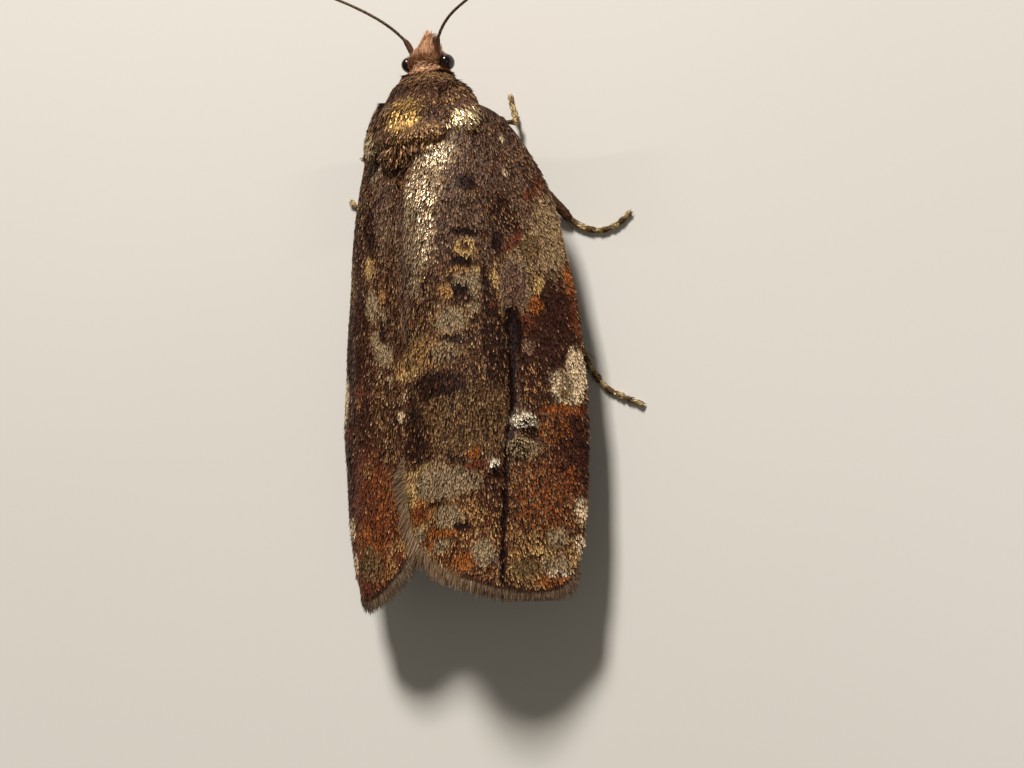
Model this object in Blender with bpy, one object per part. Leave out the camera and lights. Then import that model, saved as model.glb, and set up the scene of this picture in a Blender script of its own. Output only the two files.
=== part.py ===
"""A leafroller moth at rest: roof-shaped wings, the right forewing lying over the left one.

The head looks along -Y, the feet stand on z = 0, and the moth's right side is on -X.
Sizes are in millimetres and become metres where a mesh is made. Two nearby pieces never touch:
they keep PARTING between them. The origin ends up at the centre of the floor under the moth.
"""
from math import cos, pi, radians, sin

import bpy
from mathutils import Euler, Vector

MM = 0.001

# ---- driving dimensions, in millimetres -------------------------------------------------------
PARTING = 0.06            # gap between neighbouring pieces
WING_THICKNESS = 0.5
FRINGE = 0.22             # hair fringe along the outer margin
HEAD_CENTRE = Vector((0.0, -1.37, 2.12))
HEAD_RADII = Vector((0.5, 0.4, 0.54))
EYE_CENTRES = {-1: Vector((-0.49, -1.29, 2.12)), 1: Vector((0.49, -1.38, 2.12))}
EYE_RADII = Vector((0.21, 0.22, 0.27))
PALP_RADIUS = 0.125
FEELER_RADIUS = 0.25
FOOT_RADIUS = 0.25
SOLE = 0.06               # depth by which a foot's round underside is flattened into a sole
ABDOMEN_START = 1.78
ABDOMEN_END = 9.3
ABDOMEN_SEGMENTS = 7

# The roof that both wings follow. Distances run along the body from the wing roots.
RIDGE_HEIGHT = ((0.0, 3.25), (1.5, 3.42), (3.0, 3.4), (7.0, 3.1), (12.5, 2.45))
RIDGE_SLOPE = ((0.0, 20.0), (3.0, 13.0), (12.5, 8.0))
EDGE_SLOPE = ((0.0, 94.0), (3.0, 75.0), (7.0, 59.0), (12.5, 49.0))
RIDGE_ROUNDING = 0.8
ROOF_SPAN = 4.2           # distance from the ridge at which the slope reaches EDGE_SLOPE

# Outer margin of each forewing as it lies, -1 right and +1 left: distance of its outer end
# behind the wing root, how much shorter it is at the inner end, and how round each end is.
FORE_MARGIN = {-1: (11.6, 0.75, 1.2, 0.6), 1: (11.42, 1.9, 1.0, 0.25)}
HIND_MARGIN = (10.3, 0.0, 0.9, 1.3)

# Wing outlines: distance from the ridge, against distance along the body.
FORE_COSTA = ((0.0, 2.0), (0.4, 2.5), (0.7, 2.86), (1.2, 3.18), (1.8, 3.4), (3.0, 3.68), (5.0, 3.88), (8.0, 3.78),
              (10.5, 3.38), (12.2, 3.0))
FORE_DORSUM = ((0.0, 1.15), (0.8, 0.82), (1.2, 0.5), (1.55, 0.0), (2.2, -0.5), (3.0, -0.66), (6.0, -0.72),
               (8.0, -0.82), (9.2, -1.08), (12.2, -1.2))
HIND_COSTA = ((1.2, 1.5), (2.4, 2.4), (4.5, 2.9), (8.0, 2.85), (10.3, 2.3))
HIND_DORSUM = ((1.2, 1.0), (2.4, 0.35), (3.5, 0.04), (10.3, 0.04))


def through(points, x):
    """Smooth curve through (x, y) points, level beyond both ends."""
    last = len(points) - 1
    x = min(max(x, points[0][0]), points[last][0])
    i = next(k for k in range(last) if x <= points[k + 1][0])
    (x0, y0), (x1, y1) = points[i], points[i + 1]

    def slope(k):
        low, high = max(k - 1, 0), min(k + 1, last)
        return (points[high][1] - points[low][1]) / (points[high][0] - points[low][0])

    h = x1 - x0
    t = (x - x0) / h
    return ((2 * t**3 - 3 * t**2 + 1) * y0 + (t**3 - 2 * t**2 + t) * h * slope(i)
            + (3 * t**2 - 2 * t**3) * y1 + (t**3 - t**2) * h * slope(i + 1))


def ease(t):
    """Smooth step from 0 to 1."""
    t = min(max(t, 0.0), 1.0)
    return t * t * (3 - 2 * t)


# ---- meshes and materials ---------------------------------------------------------------------
def clear_scene():
    for item in list(bpy.data.objects):
        bpy.data.objects.remove(item, do_unlink=True)


def add_object(name, points, faces):
    """Object from points in millimetres."""
    mesh = bpy.data.meshes.new(name)
    mesh.from_pydata([tuple(c * MM for c in p) for p in points], [], faces)
    mesh.shade_smooth()
    mesh.set_sharp_from_angle(angle=radians(50))
    item = bpy.data.objects.new(name, mesh)
    bpy.context.collection.objects.link(item)
    return item


def loft(name, rings):
    """Closed body through rings of equal length; a ring of one point makes a pole."""
    points = []
    faces = []
    starts = []
    for ring in rings:
        starts.append(len(points))
        points.extend(ring)
    count = max(len(ring) for ring in rings)
    for i in range(len(rings) - 1):
        a, b = starts[i], starts[i + 1]
        for k in range(count):
            n = (k + 1) % count
            if len(rings[i]) == 1:
                faces.append((a, b + n, b + k))
            elif len(rings[i + 1]) == 1:
                faces.append((a + k, a + n, b))
            else:
                faces.append((a + k, a + n, b + n, b + k))
    if len(rings[0]) > 1:
        faces.append(tuple(reversed(range(count))))
    if len(rings[-1]) > 1:
        faces.append(tuple(range(starts[-1], starts[-1] + count)))
    return add_object(name, points, faces)


def as_cutter(item):
    item.hide_render = True
    item.display_type = 'WIRE'
    return item


def cut(item, cutters):
    for cutter in cutters:
        boolean = item.modifiers.new("clear of " + cutter.name, 'BOOLEAN')
        boolean.operation = 'DIFFERENCE'
        boolean.solver = 'EXACT'
        boolean.object = cutter


def finish(item, colour, roughness, metallic=0.0):
    """Give an object its own material."""
    material = bpy.data.materials.new(item.name + "_finish")
    material.use_nodes = True
    shader = material.node_tree.nodes["Principled BSDF"]
    shader.inputs["Base Color"].default_value = (*colour, 1.0)
    shader.inputs["Roughness"].default_value = roughness
    shader.inputs["Metallic"].default_value = metallic
    item.data.materials.append(material)
    return item


# ---- wings ------------------------------------------------------------------------------------
def roof_point(side, along, out, depth):
    """Point of a wing: side is +1 for the left wing, out is its distance from the ridge,
    negative past the midline, and depth is how far it lies under the roof."""
    start = radians(through(RIDGE_SLOPE, along))
    growth = (radians(through(EDGE_SLOPE, along)) - start) / ROOF_SPAN
    reach = abs(out)
    steps = 16
    x = 0.0
    z = through(RIDGE_HEIGHT, along)
    slope = 0.0
    for i in range(steps):
        u = reach * (i + 0.5) / steps
        slope = (start + growth * u) * min(u / RIDGE_ROUNDING, 1.0)
        x += cos(slope) * reach / steps
        z -= sin(slope) * reach / steps
    slope = (start + growth * reach) * min(reach / RIDGE_ROUNDING, 1.0)
    across = side if out >= 0 else -side
    return Vector((across * (x - depth * sin(slope)), along, z - depth * cos(slope)))


def margin_reach(across, margin):
    """How far back a wing reaches; across is 0 at the inner margin and 1 at the costa."""
    length, skew, inner_corner, outer_corner = margin
    a = 2 * across - 1
    corner = inner_corner if a < 0 else outer_corner
    return length + skew * (across - 1) - corner * abs(a)**4


def fore_outline(side, along_share, across, grow):
    end = margin_reach(across, FORE_MARGIN[side]) + FRINGE + grow
    along = -grow + (end + grow) * along_share
    inner = through(FORE_DORSUM, along) - grow
    outer = through(FORE_COSTA, along) + grow
    return along, inner + (outer - inner) * across


def hind_outline(side, along_share, across, grow):
    root = HIND_COSTA[0][0] - grow
    end = margin_reach(across, HIND_MARGIN) + grow
    along = root + (end - root) * along_share
    inner = through(HIND_DORSUM, along) - grow
    outer = through(HIND_COSTA, along) + grow
    return along, inner + (outer - inner) * across


def wing(name, side, outline, middle_depth, side_depth, rows, columns, grow):
    """Wing plate of even thickness. Its top lies middle_depth under the roof near the midline
    and side_depth under it out at the sides."""
    points = []
    for face_depth in (-grow, WING_THICKNESS + grow):
        for i in range(rows + 1):
            for k in range(columns + 1):
                along, out = outline(side, i / rows, k / columns, grow)
                depth = middle_depth + (side_depth - middle_depth) * ease((abs(out) - 1.0) / 1.6)
                points.append(roof_point(side, along, out, depth + face_depth))
    width = columns + 1
    under = (rows + 1) * width
    faces = []
    for i in range(rows):
        for k in range(columns):
            a = i * width + k
            quad = (a, a + width, a + width + 1, a + 1)
            faces.append(quad)
            faces.append(tuple(under + v for v in reversed(quad)))
    rim = [k for k in range(columns)]
    rim += [i * width + columns for i in range(rows)]
    rim += [rows * width + k for k in range(columns, 0, -1)]
    rim += [i * width for i in range(rows, 0, -1)]
    for a, b in zip(rim, rim[1:] + rim[:1]):
        faces.append((a, b, under + b, under + a))
    if side > 0:
        faces = [tuple(reversed(face)) for face in faces]
    return add_object(name, points, faces)


FORE_DEPTHS = {-1: (-0.28, -0.10), 1: (0.32, -0.05)}
HIND_DEPTHS = {-1: (0.90, 0.48), 1: (0.90, 0.53)}


def forewing(name, side, grow=0.0):
    return wing(name, side, fore_outline, *FORE_DEPTHS[side], 20, 12, grow)


def hindwing(name, side, grow=0.0):
    return wing(name, side, hind_outline, *HIND_DEPTHS[side], 14, 7, grow)


# ---- trunk ------------------------------------------------------------------------------------
def oval_ring(y, half_width, low, high, count, squareness=2.0):
    """Ring across the body with rounded corners, from height low to height high."""
    ring = []
    for k in range(count):
        a = -2 * pi * k / count
        c, s = cos(a), sin(a)
        x = half_width * abs(c)**(2 / squareness) * (1 if c >= 0 else -1)
        z = (high - low) / 2 * abs(s)**(2 / squareness) * (1 if s >= 0 else -1)
        ring.append(Vector((x, y, (low + high) / 2 + z)))
    return ring


THORAX_WIDTH = ((-1.1, 0.56), (-0.8, 0.8), (-0.3, 1.1), (0.4, 1.28), (1.1, 1.08), (1.72, 0.8))
THORAX_LOW = ((-1.1, 1.75), (-0.8, 1.42), (-0.3, 1.12), (0.4, 1.0), (1.72, 0.95))
THORAX_HIGH = ((-1.1, 2.6), (-0.8, 2.88), (-0.3, 3.24), (0.2, 3.44), (0.6, 3.5), (0.95, 3.4), (1.3, 3.1), (1.72, 2.0))


def thorax(name, grow=0.0):
    rings = []
    rows = 16
    front, back = THORAX_WIDTH[0][0], THORAX_WIDTH[-1][0]
    for i in range(rows + 1):
        y = front + (back - front) * i / rows
        ring = oval_ring(y, through(THORAX_WIDTH, y) + grow, through(THORAX_LOW, y) - grow,
                         through(THORAX_HIGH, y) + grow, 20, 2.3)
        rings.append(ring)
    for v in rings[0]:
        v.y -= grow
    for v in rings[-1]:
        v.y += grow
    return loft(name, rings)


def abdomen(name):
    """Segmented body that tapers to a blunt tuft of scales."""
    rows = 3 * ABDOMEN_SEGMENTS
    length = ABDOMEN_END - ABDOMEN_START
    rings = []
    for i in range(rows):
        share = i / rows
        y = ABDOMEN_START + length * share
        pinch = 1.0 - 0.05 * cos(2 * pi * share * ABDOMEN_SEGMENTS)**4
        width = through(((0.0, 0.66), (0.25, 0.88), (0.55, 0.84), (0.85, 0.55), (1.0, 0.3)), share)
        low = through(((0.0, 0.5), (0.25, 0.22), (0.7, 0.2), (1.0, 0.5)), share)
        high = through(((0.0, 1.72), (0.2, 1.86), (0.6, 1.58), (1.0, 1.05)), share)
        middle = (low + high) / 2
        reach = (high - low) / 2 * pinch
        rings.append(oval_ring(y, width * pinch, middle - reach, middle + reach, 14, 2.1))
    rings.append([Vector((0.0, ABDOMEN_END, 0.78))])
    return loft(name, rings)


# ---- ellipsoids: head, eyes, shoulder flaps -----------------------------------------------------
def ellipsoid(name, centre, radii, rows, columns, turn=(0.0, 0.0, 0.0), grow=0.0, shape=None):
    spin = Euler([radians(a) for a in turn]).to_matrix()
    rings = []
    for i in range(rows + 1):
        polar = pi * i / rows
        ring = []
        for k in range(columns if 0 < i < rows else 1):
            a = 2 * pi * k / columns
            unit = Vector((sin(polar) * cos(a), sin(polar) * sin(a), -cos(polar)))
            stretch = shape(unit) if shape else 1.0
            local = Vector([(r * stretch + grow) * u for r, u in zip(radii, unit)])
            ring.append(centre + spin @ local)
        rings.append(ring)
    return loft(name, rings)


def head_form(unit):
    """Tuft of scales over the brow, flatter face below it."""
    brow = max(0.0, unit.z) * max(0.0, -unit.y)
    face = max(0.0, -unit.z) * max(0.0, -unit.y)
    return 1.0 + 0.12 * brow - 0.1 * face


def head(name, grow=0.0):
    return ellipsoid(name, HEAD_CENTRE, HEAD_RADII, 12, 18, grow=grow, shape=head_form)


def eye(name, side, grow=0.0):
    return ellipsoid(name, EYE_CENTRES[side], EYE_RADII, 10, 12, grow=grow)


TEGULA_CENTRES = {-1: Vector((-1.13, -0.06, 2.74)), 1: Vector((1.18, 0.2, 2.6))}
TEGULA_RADII = Vector((0.48, 0.8, 0.27))


def tegula(name, side, grow=0.0):
    """Flap of scales over the wing root, flat against the shoulder."""
    return ellipsoid(name, TEGULA_CENTRES[side], TEGULA_RADII, 10, 14, (6.0, side * 42.0, side * -16.0), grow)


# ---- tubes: feelers, palps, legs -----------------------------------------------------------------
def route(points, count):
    """Evenly spaced points on a smooth curve through the given ones."""
    lengths = [0.0]
    for a, b in zip(points, points[1:]):
        lengths.append(lengths[-1] + (Vector(b) - Vector(a)).length)
    curves = [[(s, p[axis]) for s, p in zip(lengths, points)] for axis in range(3)]
    stations = [lengths[-1] * i / (count - 1) for i in range(count)]
    return [Vector([through(curve, s) for curve in curves]) for s in stations]


def tube(name, points, rings_along, radius, sides=8, ground=False):
    """Round limb along a route; radius is a function of the share of its length.
    With ground, what would be under the floor becomes a flat sole."""
    centres = route(points, rings_along)
    up = Vector((0, 0, 1))
    rings = []
    for i, centre in enumerate(centres):
        ahead = centres[min(i + 1, len(centres) - 1)] - centres[max(i - 1, 0)]
        ahead.normalize()
        right = ahead.cross(up).normalized()
        high = right.cross(ahead)
        r = radius(i / (len(centres) - 1))
        ring = []
        for k in range(sides):
            a = 2 * pi * (k + 0.5) / sides
            p = centre + right * (r * cos(a)) + high * (r * sin(a))
            if ground:
                p.z = max(p.z, 0.0)
            ring.append(p)
        rings.append(ring)
    return loft(name, [list(reversed(ring)) for ring in rings])


# Routes of the limbs on each side, from the body to the tip.
FEELERS = {
    1: ((0.34, -1.46, 2.24), (0.48, -1.92, 2.5), (0.85, -2.36, 2.97), (1.78, -2.93, 3.42),
        (3.0, -3.45, 3.95), (4.2, -3.85, 4.35), (4.75, -3.95, 4.45)),
    -1: ((-0.34, -1.4, 2.24), (-0.5, -1.8, 2.5), (-1.07, -2.08, 2.98), (-1.8, -2.28, 3.42),
         (-3.0, -2.6, 3.95), (-4.2, -2.95, 4.35), (-4.75, -3.05, 4.45)),
}
PALP = ((0.17, -1.5, 1.86), (0.165, -1.72, 1.87), (0.15, -1.92, 1.92), (0.13, -2.12, 1.98))
FLOOR_AXIS = FOOT_RADIUS - SOLE
# Each leg runs from its hip in the thorax to knee, ankle and the bends of its foot.
RIGHT_LEGS = {
    "fore": ((-0.42, -0.5, 1.35), (-0.98, -0.12, 0.92), (-1.34, -0.08, 0.5),
             (-1.25, -0.38, FLOOR_AXIS), (-1.12, -0.78, FLOOR_AXIS)),
    "mid": ((-0.5, 0.3, 1.2), (-1.15, 0.75, 0.95), (-1.85, 1.35, 0.85), (-2.35, 2.1, 0.34),
            (-2.75, 2.6, FLOOR_AXIS), (-3.3, 2.8, FLOOR_AXIS), (-3.75, 2.72, FLOOR_AXIS),
            (-4.05, 2.53, FLOOR_AXIS)),
    "hind": ((-0.5, 1.0, 1.2), (-1.15, 1.75, 0.85), (-1.8, 3.3, 0.78), (-2.4, 4.9, 0.45),
             (-2.75, 5.75, FLOOR_AXIS), (-3.0, 6.25, FLOOR_AXIS), (-3.3, 6.6, FLOOR_AXIS),
             (-3.7, 6.84, FLOOR_AXIS), (-4.08, 7.03, FLOOR_AXIS)),
}
LEFT_LEGS = {
    "fore": ((0.42, -0.5, 1.35), (1.02, -0.1, 0.92), (1.45, -0.02, 0.5),
             (1.46, -0.32, FLOOR_AXIS), (1.4, -0.72, FLOOR_AXIS)),
    "mid": ((0.5, 0.3, 1.2), (1.15, 0.75, 0.95), (1.75, 1.2, 0.85), (2.25, 1.62, 0.36),
            (2.65, 1.7, FLOOR_AXIS), (3.0, 1.5, FLOOR_AXIS), (3.3, 1.2, FLOOR_AXIS)),
    "hind": ((0.5, 1.0, 1.2), (1.15, 1.75, 0.85), (1.65, 3.3, 0.78), (2.05, 4.9, 0.45),
             (2.25, 5.7, FLOOR_AXIS), (2.4, 6.25, FLOOR_AXIS), (2.5, 6.7, FLOOR_AXIS), (2.65, 7.1, FLOOR_AXIS)),
}
LEG_TAPER = ((0.0, 0.26), (0.2, 0.29), (0.45, FOOT_RADIUS), (1.0, FOOT_RADIUS))  # radius from hip to claws


def mirrored(points, side):
    return [(side * x, y, z) for x, y, z in points]


def centre_on_floor(items):
    """Move everything so that the middle of its box is over the origin and its feet are on z = 0."""
    bpy.context.view_layer.update()
    corners = [item.matrix_world @ Vector(c) for item in items for c in item.bound_box]
    low = Vector([min(c[axis] for c in corners) for axis in range(3)])
    high = Vector([max(c[axis] for c in corners) for axis in range(3)])
    shift = Vector(((low.x + high.x) / 2, (low.y + high.y) / 2, low.z))
    for item in bpy.data.objects:
        item.location -= shift


def build():
    clear_scene()
    nodes = []

    def node(item, colour, roughness):
        nodes.append(finish(item, colour, roughness))
        return item

    sides = {"right": -1, "left": 1}
    thorax_cutter = as_cutter(thorax("space_for_thorax", PARTING))
    head_cutter = as_cutter(head("space_for_head", PARTING))
    trunk_cutters = [head_cutter]
    eye_cutters = []
    for word, side in sides.items():
        fore_cutter = as_cutter(forewing("space_for_forewing_" + word, side, PARTING))
        hind_cutter = as_cutter(hindwing("space_for_hindwing_" + word, side, PARTING))
        tegula_cutter = as_cutter(tegula("space_for_tegula_" + word, side, PARTING))
        eye_cutter = as_cutter(eye("space_for_eye_" + word, side, PARTING / 2))
        eye_cutters.append(eye_cutter)
        trunk_cutters += [fore_cutter, hind_cutter, tegula_cutter]

        node(forewing("forewing_" + word, side), (0.09, 0.055, 0.036), 0.6)
        node(hindwing("hindwing_" + word, side), (0.16, 0.13, 0.11), 0.6)
        shoulder = node(tegula("tegula_" + word, side), (0.2, 0.15, 0.12), 0.5)
        cut(shoulder, [fore_cutter])
        node(eye("eye_" + word, side), (0.01, 0.008, 0.007), 0.15)
        palp = tube("palp_" + word, mirrored(PALP, side), 8, lambda s: PALP_RADIUS * (1.05 - 0.35 * s))
        node(palp, (0.2, 0.08, 0.04), 0.7)
        feeler = tube("antenna_" + word, FEELERS[side], 20, lambda s: FEELER_RADIUS * (1.0 - 0.1 * s))
        node(feeler, (0.1, 0.06, 0.035), 0.6)
        cut(palp, [head_cutter])
        cut(feeler, [head_cutter, eye_cutter])
        legs = RIGHT_LEGS if side < 0 else LEFT_LEGS
        for place, points in legs.items():
            leg = tube("leg_" + place + "_" + word, points, 17, lambda s: through(LEG_TAPER, s), ground=True)
            cut(leg, [thorax_cutter])
            node(leg, (0.25, 0.17, 0.09), 0.6)

    skull = node(head("head"), (0.2, 0.08, 0.045), 0.8)
    cut(skull, eye_cutters)
    trunk = node(thorax("thorax"), (0.09, 0.05, 0.04), 0.7)
    cut(trunk, trunk_cutters)
    node(abdomen("abdomen"), (0.13, 0.1, 0.08), 0.7)
    centre_on_floor(nodes)


build()
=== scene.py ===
"""A leafroller moth at rest, life size: the finish of every part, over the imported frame.

Shapes are worked out in millimetres from the wing roots: x to the moth's left, y to its tail, z up
from the floor. They become metres in the frame's own place when a mesh is made.
"""
from math import cos, pi, radians, sin

import bpy
import numpy as np
from mathutils import Euler, Matrix, Vector


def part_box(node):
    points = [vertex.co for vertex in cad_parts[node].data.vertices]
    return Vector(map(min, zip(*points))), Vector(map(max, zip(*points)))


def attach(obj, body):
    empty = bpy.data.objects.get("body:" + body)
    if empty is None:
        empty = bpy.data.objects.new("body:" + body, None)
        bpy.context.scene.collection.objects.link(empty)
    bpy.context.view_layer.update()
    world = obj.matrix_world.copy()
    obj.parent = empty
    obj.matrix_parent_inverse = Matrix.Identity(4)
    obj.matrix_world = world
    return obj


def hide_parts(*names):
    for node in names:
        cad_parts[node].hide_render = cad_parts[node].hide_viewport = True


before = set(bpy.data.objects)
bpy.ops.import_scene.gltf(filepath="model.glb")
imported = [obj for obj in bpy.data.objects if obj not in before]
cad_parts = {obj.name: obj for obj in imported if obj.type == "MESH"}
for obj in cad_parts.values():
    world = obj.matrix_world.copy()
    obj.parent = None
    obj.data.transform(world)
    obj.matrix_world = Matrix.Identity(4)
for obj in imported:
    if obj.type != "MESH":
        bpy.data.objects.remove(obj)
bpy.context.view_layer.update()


# ---- Where the moth is seen from ----
# The museum view looks down on the right forewing from over the moth's right side, a little behind
# it, with the head up. The camera is close enough for the feelers to run out of the top of the view.
MM = 0.001
THORAX_FRONT = -1.1
WING_ROOTS = Vector((0.0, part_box("thorax")[0].y - THORAX_FRONT * MM, 0.0))
VIEW_DISTANCE = 60.0
VIEW_CENTRE = Vector((0.0, 5.0, 1.5))
VIEW_OFFSET = (1.412, -1.271)
LENS = 89.65

side_tilt = radians(26.5)
back_tilt = radians(12.0)
twist = radians(2.5)
view_axis = Vector((-sin(side_tilt), sin(back_tilt) * cos(side_tilt), cos(back_tilt) * cos(side_tilt)))
view_axis.normalize()
level_up = Vector((0.0, -1.0, 0.0))
level_up = (level_up - view_axis * level_up.dot(view_axis)).normalized()
level_right = level_up.cross(view_axis)
view_up = level_up * cos(twist) + level_right * sin(twist)
view_right = level_right * cos(twist) - level_up * sin(twist)
eye_point = VIEW_CENTRE + view_axis * VIEW_DISTANCE
aim = VIEW_CENTRE + view_right * VIEW_OFFSET[0] + view_up * VIEW_OFFSET[1]
back = (eye_point - aim).normalized()
up = (view_up - back * view_up.dot(back)).normalized()
turn = Matrix((up.cross(back), up, back)).transposed().to_4x4()


def link(name, data):
    """A new object in the scene, of a mesh, a lamp or a camera."""
    item = bpy.data.objects.new(name, data)
    bpy.context.scene.collection.objects.link(item)
    return item


lens = bpy.data.cameras.new("museum_view")
lens.lens = LENS
lens.clip_start = MM
lens.clip_end = 10.0
camera = link("museum_view", lens)
camera.matrix_world = Matrix.Translation(WING_ROOTS + eye_point * MM) @ turn
bpy.context.scene.camera = camera


# ---- Floor and light ----
# A plain warm white table top, matt like board. A soft box at the head end lights it, as wide as
# a desk lamp's diffuser, with a pale room round it.
class Wire:
    """A value, colour or vector that runs between the nodes of a finish."""

    def __init__(self, tree, socket=None):
        self.tree = tree
        self.socket = socket

    def node(self, kind, settings=None, sockets=None, output=0):
        """A node of a kind, its settings made first, then its sockets given values or wires."""
        made = self.tree.nodes.new("ShaderNode" + kind)
        for key, value in (settings or {}).items():
            setattr(made, key, value)
        for key, value in (sockets or {}).items():
            if isinstance(value, Wire):
                self.tree.links.new(value.socket, made.inputs[key])
            else:
                made.inputs[key].default_value = value
        return Wire(self.tree, made.outputs[output] if made.outputs else None)

    def maths(self, operation, *others):
        return self.node("Math", {"operation": operation}, dict(enumerate((self, *others))))

    def __add__(self, other):
        return self.maths("ADD", other)

    __radd__ = __add__

    def __sub__(self, other):
        return self.maths("SUBTRACT", other)

    def __rsub__(self, other):
        return self.node("Math", {"operation": "SUBTRACT"}, {0: other, 1: self})

    def __mul__(self, other):
        return self.maths("MULTIPLY", other)

    __rmul__ = __mul__

    def rises(self, low, high, top=1.0):
        """0 below low and top above high, smooth between them; high may be the lower one."""
        return self.node("MapRange", {"interpolation_type": 'SMOOTHSTEP', "clamp": False},
                         {"Value": self, "From Min": low, "From Max": high, "To Max": top})

    def dice(self, factor):
        """Another even random value from a piece's own seed."""
        return (self * factor).maths("FRACT")

    def blend(self, first, second):
        """From the first colour to the second, as this value goes from 0 to 1."""
        return self.node("Mix", {"data_type": 'RGBA'}, {0: self, 6: first, 7: second}, 2)

    def times(self, value):
        """A colour made lighter or darker."""
        return self.node("VectorMath", {"operation": 'SCALE'}, {0: self, "Scale": value})

    def cloud(self, size, detail=2.0):
        """Soft noise over a place, of patches of a size."""
        return self.node("TexNoise", None, {"Vector": self, "Scale": 1.0 / size, "Detail": detail})

    def cells(self, scale, output="Distance"):
        """Small irregular cells over a place, this many to its unit of length."""
        return self.node("TexVoronoi", None, {"Vector": self, "Scale": scale}, output)

    def relief(self, strength, depth):
        """Small bumps of a depth in metres, from a height."""
        return self.node("Bump", None, {"Strength": strength, "Distance": depth, "Height": self})

    def named(self, attribute):
        return self.node("Attribute", {"attribute_name": attribute}, None, "Vector")

    def part(self, axis):
        return self.node("SeparateXYZ", None, {"Vector": self}, axis)

    def scale_facts(self):
        """A scale's place on the moth, then across it, along it, and its own random value."""
        vane = self.named("vane")
        return self.named("place"), vane.part("X"), vane.part("Y"), vane.part("Z")


def new_finish(name):
    """An empty material, and a wire to start its nodes from."""
    material = bpy.data.materials.new(name)
    material.use_nodes = True
    material.node_tree.nodes.clear()
    return material, Wire(material.node_tree)


def apply_finish(start, **sockets):
    """The shader that the wires of a finish end in, with its sockets named as keywords."""
    named = {key.replace("_", " "): value for key, value in sockets.items()}
    shader = start.node("BsdfPrincipled", None, named)
    start.node("OutputMaterial", None, {"Surface": shader})


def paint(red, green, blue):
    """A colour as a paint chart gives it, from 0 to 255, made linear."""
    return tuple((c / 255) ** 2.2 for c in (red, green, blue)) + (1.0,)


FLOOR_SIZE = 4.0
floor_mesh = bpy.data.meshes.new("floor")
half = FLOOR_SIZE / 2
floor_mesh.from_pydata([(-half, -half, 0), (half, -half, 0), (half, half, 0), (-half, half, 0)], [],
                       [(0, 1, 2, 3)])
floor = link("floor", floor_mesh)
board, wire = new_finish("white_board")
spot = wire.node("TexCoord", None, None, "Object")
tint = spot.cloud(0.03).rises(0.3, 0.7).blend(paint(218, 215, 209), paint(224, 221, 216))
apply_finish(wire, Base_Color=tint, Roughness=0.85)
floor_mesh.materials.append(board)


def soft_box(name, place, power, size, colour):
    """A square lamp at a place in millimetres, facing the moth's back."""
    lamp = bpy.data.lights.new(name, 'AREA')
    lamp.energy = power
    lamp.size = size * MM
    lamp.color = colour
    item = link(name, lamp)
    item.location = WING_ROOTS + Vector(place) * MM
    item.rotation_euler = (Vector(place) - VIEW_CENTRE).to_track_quat('Z', 'Y').to_euler()


soft_box("head_lamp", (2.0, -132.3, 117.8), 0.436, 38.5, (1.0, 0.955, 0.89))
soft_box("side_lamp", (-120.0, 60.0, 120.0), 0.02, 120.0, (1.0, 0.94, 0.84))
room = bpy.data.worlds.new("pale_room")
room.use_nodes = True
room.node_tree.nodes["Background"].inputs["Color"].default_value = (1.0, 0.9, 0.76, 1.0)
room.node_tree.nodes["Background"].inputs["Strength"].default_value = 0.115
bpy.context.scene.world = room
bpy.context.scene.view_settings.view_transform = 'Standard'


# ---- Body: head, thorax, shoulder flaps, abdomen, palps and legs ----
# One skin of chitin from palps to tail, with the hips, thighs, shins and five-jointed feet grown
# from it. It lies inside the solids by the depth of the coat of scales.
FULL_TURN = 2 * pi


def through(points, x):
    """Smooth curve through (x, y) points, level beyond both ends; y may have several parts."""
    xs = np.array([p[0] for p in points], float)
    ys = np.array([p[1] for p in points], float)
    rise = np.empty_like(ys)
    step = xs[2:] - xs[:-2]
    rise[1:-1] = ((ys[2:] - ys[:-2]).T / step).T
    rise[0] = (ys[1] - ys[0]) / (xs[1] - xs[0])
    rise[-1] = (ys[-1] - ys[-2]) / (xs[-1] - xs[-2])
    x = np.clip(np.asarray(x, float), xs[0], xs[-1])
    i = np.clip(np.searchsorted(xs, x, side="right") - 1, 0, len(xs) - 2)
    h = xs[i + 1] - xs[i]
    t = (x - xs[i]) / h
    if ys.ndim > 1:
        h, t = h[..., None], t[..., None]
    return ((2 * t**3 - 3 * t**2 + 1) * ys[i] + (t**3 - 2 * t**2 + t) * h * rise[i]
            + (3 * t**2 - 2 * t**3) * ys[i + 1] + (t**3 - t**2) * h * rise[i + 1])


def ease(t):
    """Smooth step from 0 to 1."""
    t = np.clip(t, 0.0, 1.0)
    return t * t * (3 - 2 * t)


def unit(vectors):
    return vectors / np.maximum(np.linalg.norm(vectors, axis=-1, keepdims=True), 1e-12)


def columns(*parts):
    """Vectors from their separate parts."""
    return np.stack(np.broadcast_arrays(*parts), -1)


def distances(points):
    """How far along a line of points each one is."""
    return np.concatenate([[0.0], np.cumsum(np.linalg.norm(np.diff(points, axis=0), axis=1))])


def square_to(ahead):
    """The level direction and the upright one square to a route."""
    right = unit(np.cross(ahead, (0.0, 0.0, 1.0)))
    return right, np.cross(right, ahead)


def turned(degrees):
    return np.array(Euler([radians(angle) for angle in degrees]).to_matrix())


def route(points, count):
    """Evenly spaced points on a smooth curve through the given ones, and their distances along it."""
    points = np.array(points, float)
    marks = distances(points)
    stations = np.linspace(0.0, marks[-1], count)
    return through(list(zip(marks, points)), stations), stations


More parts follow.
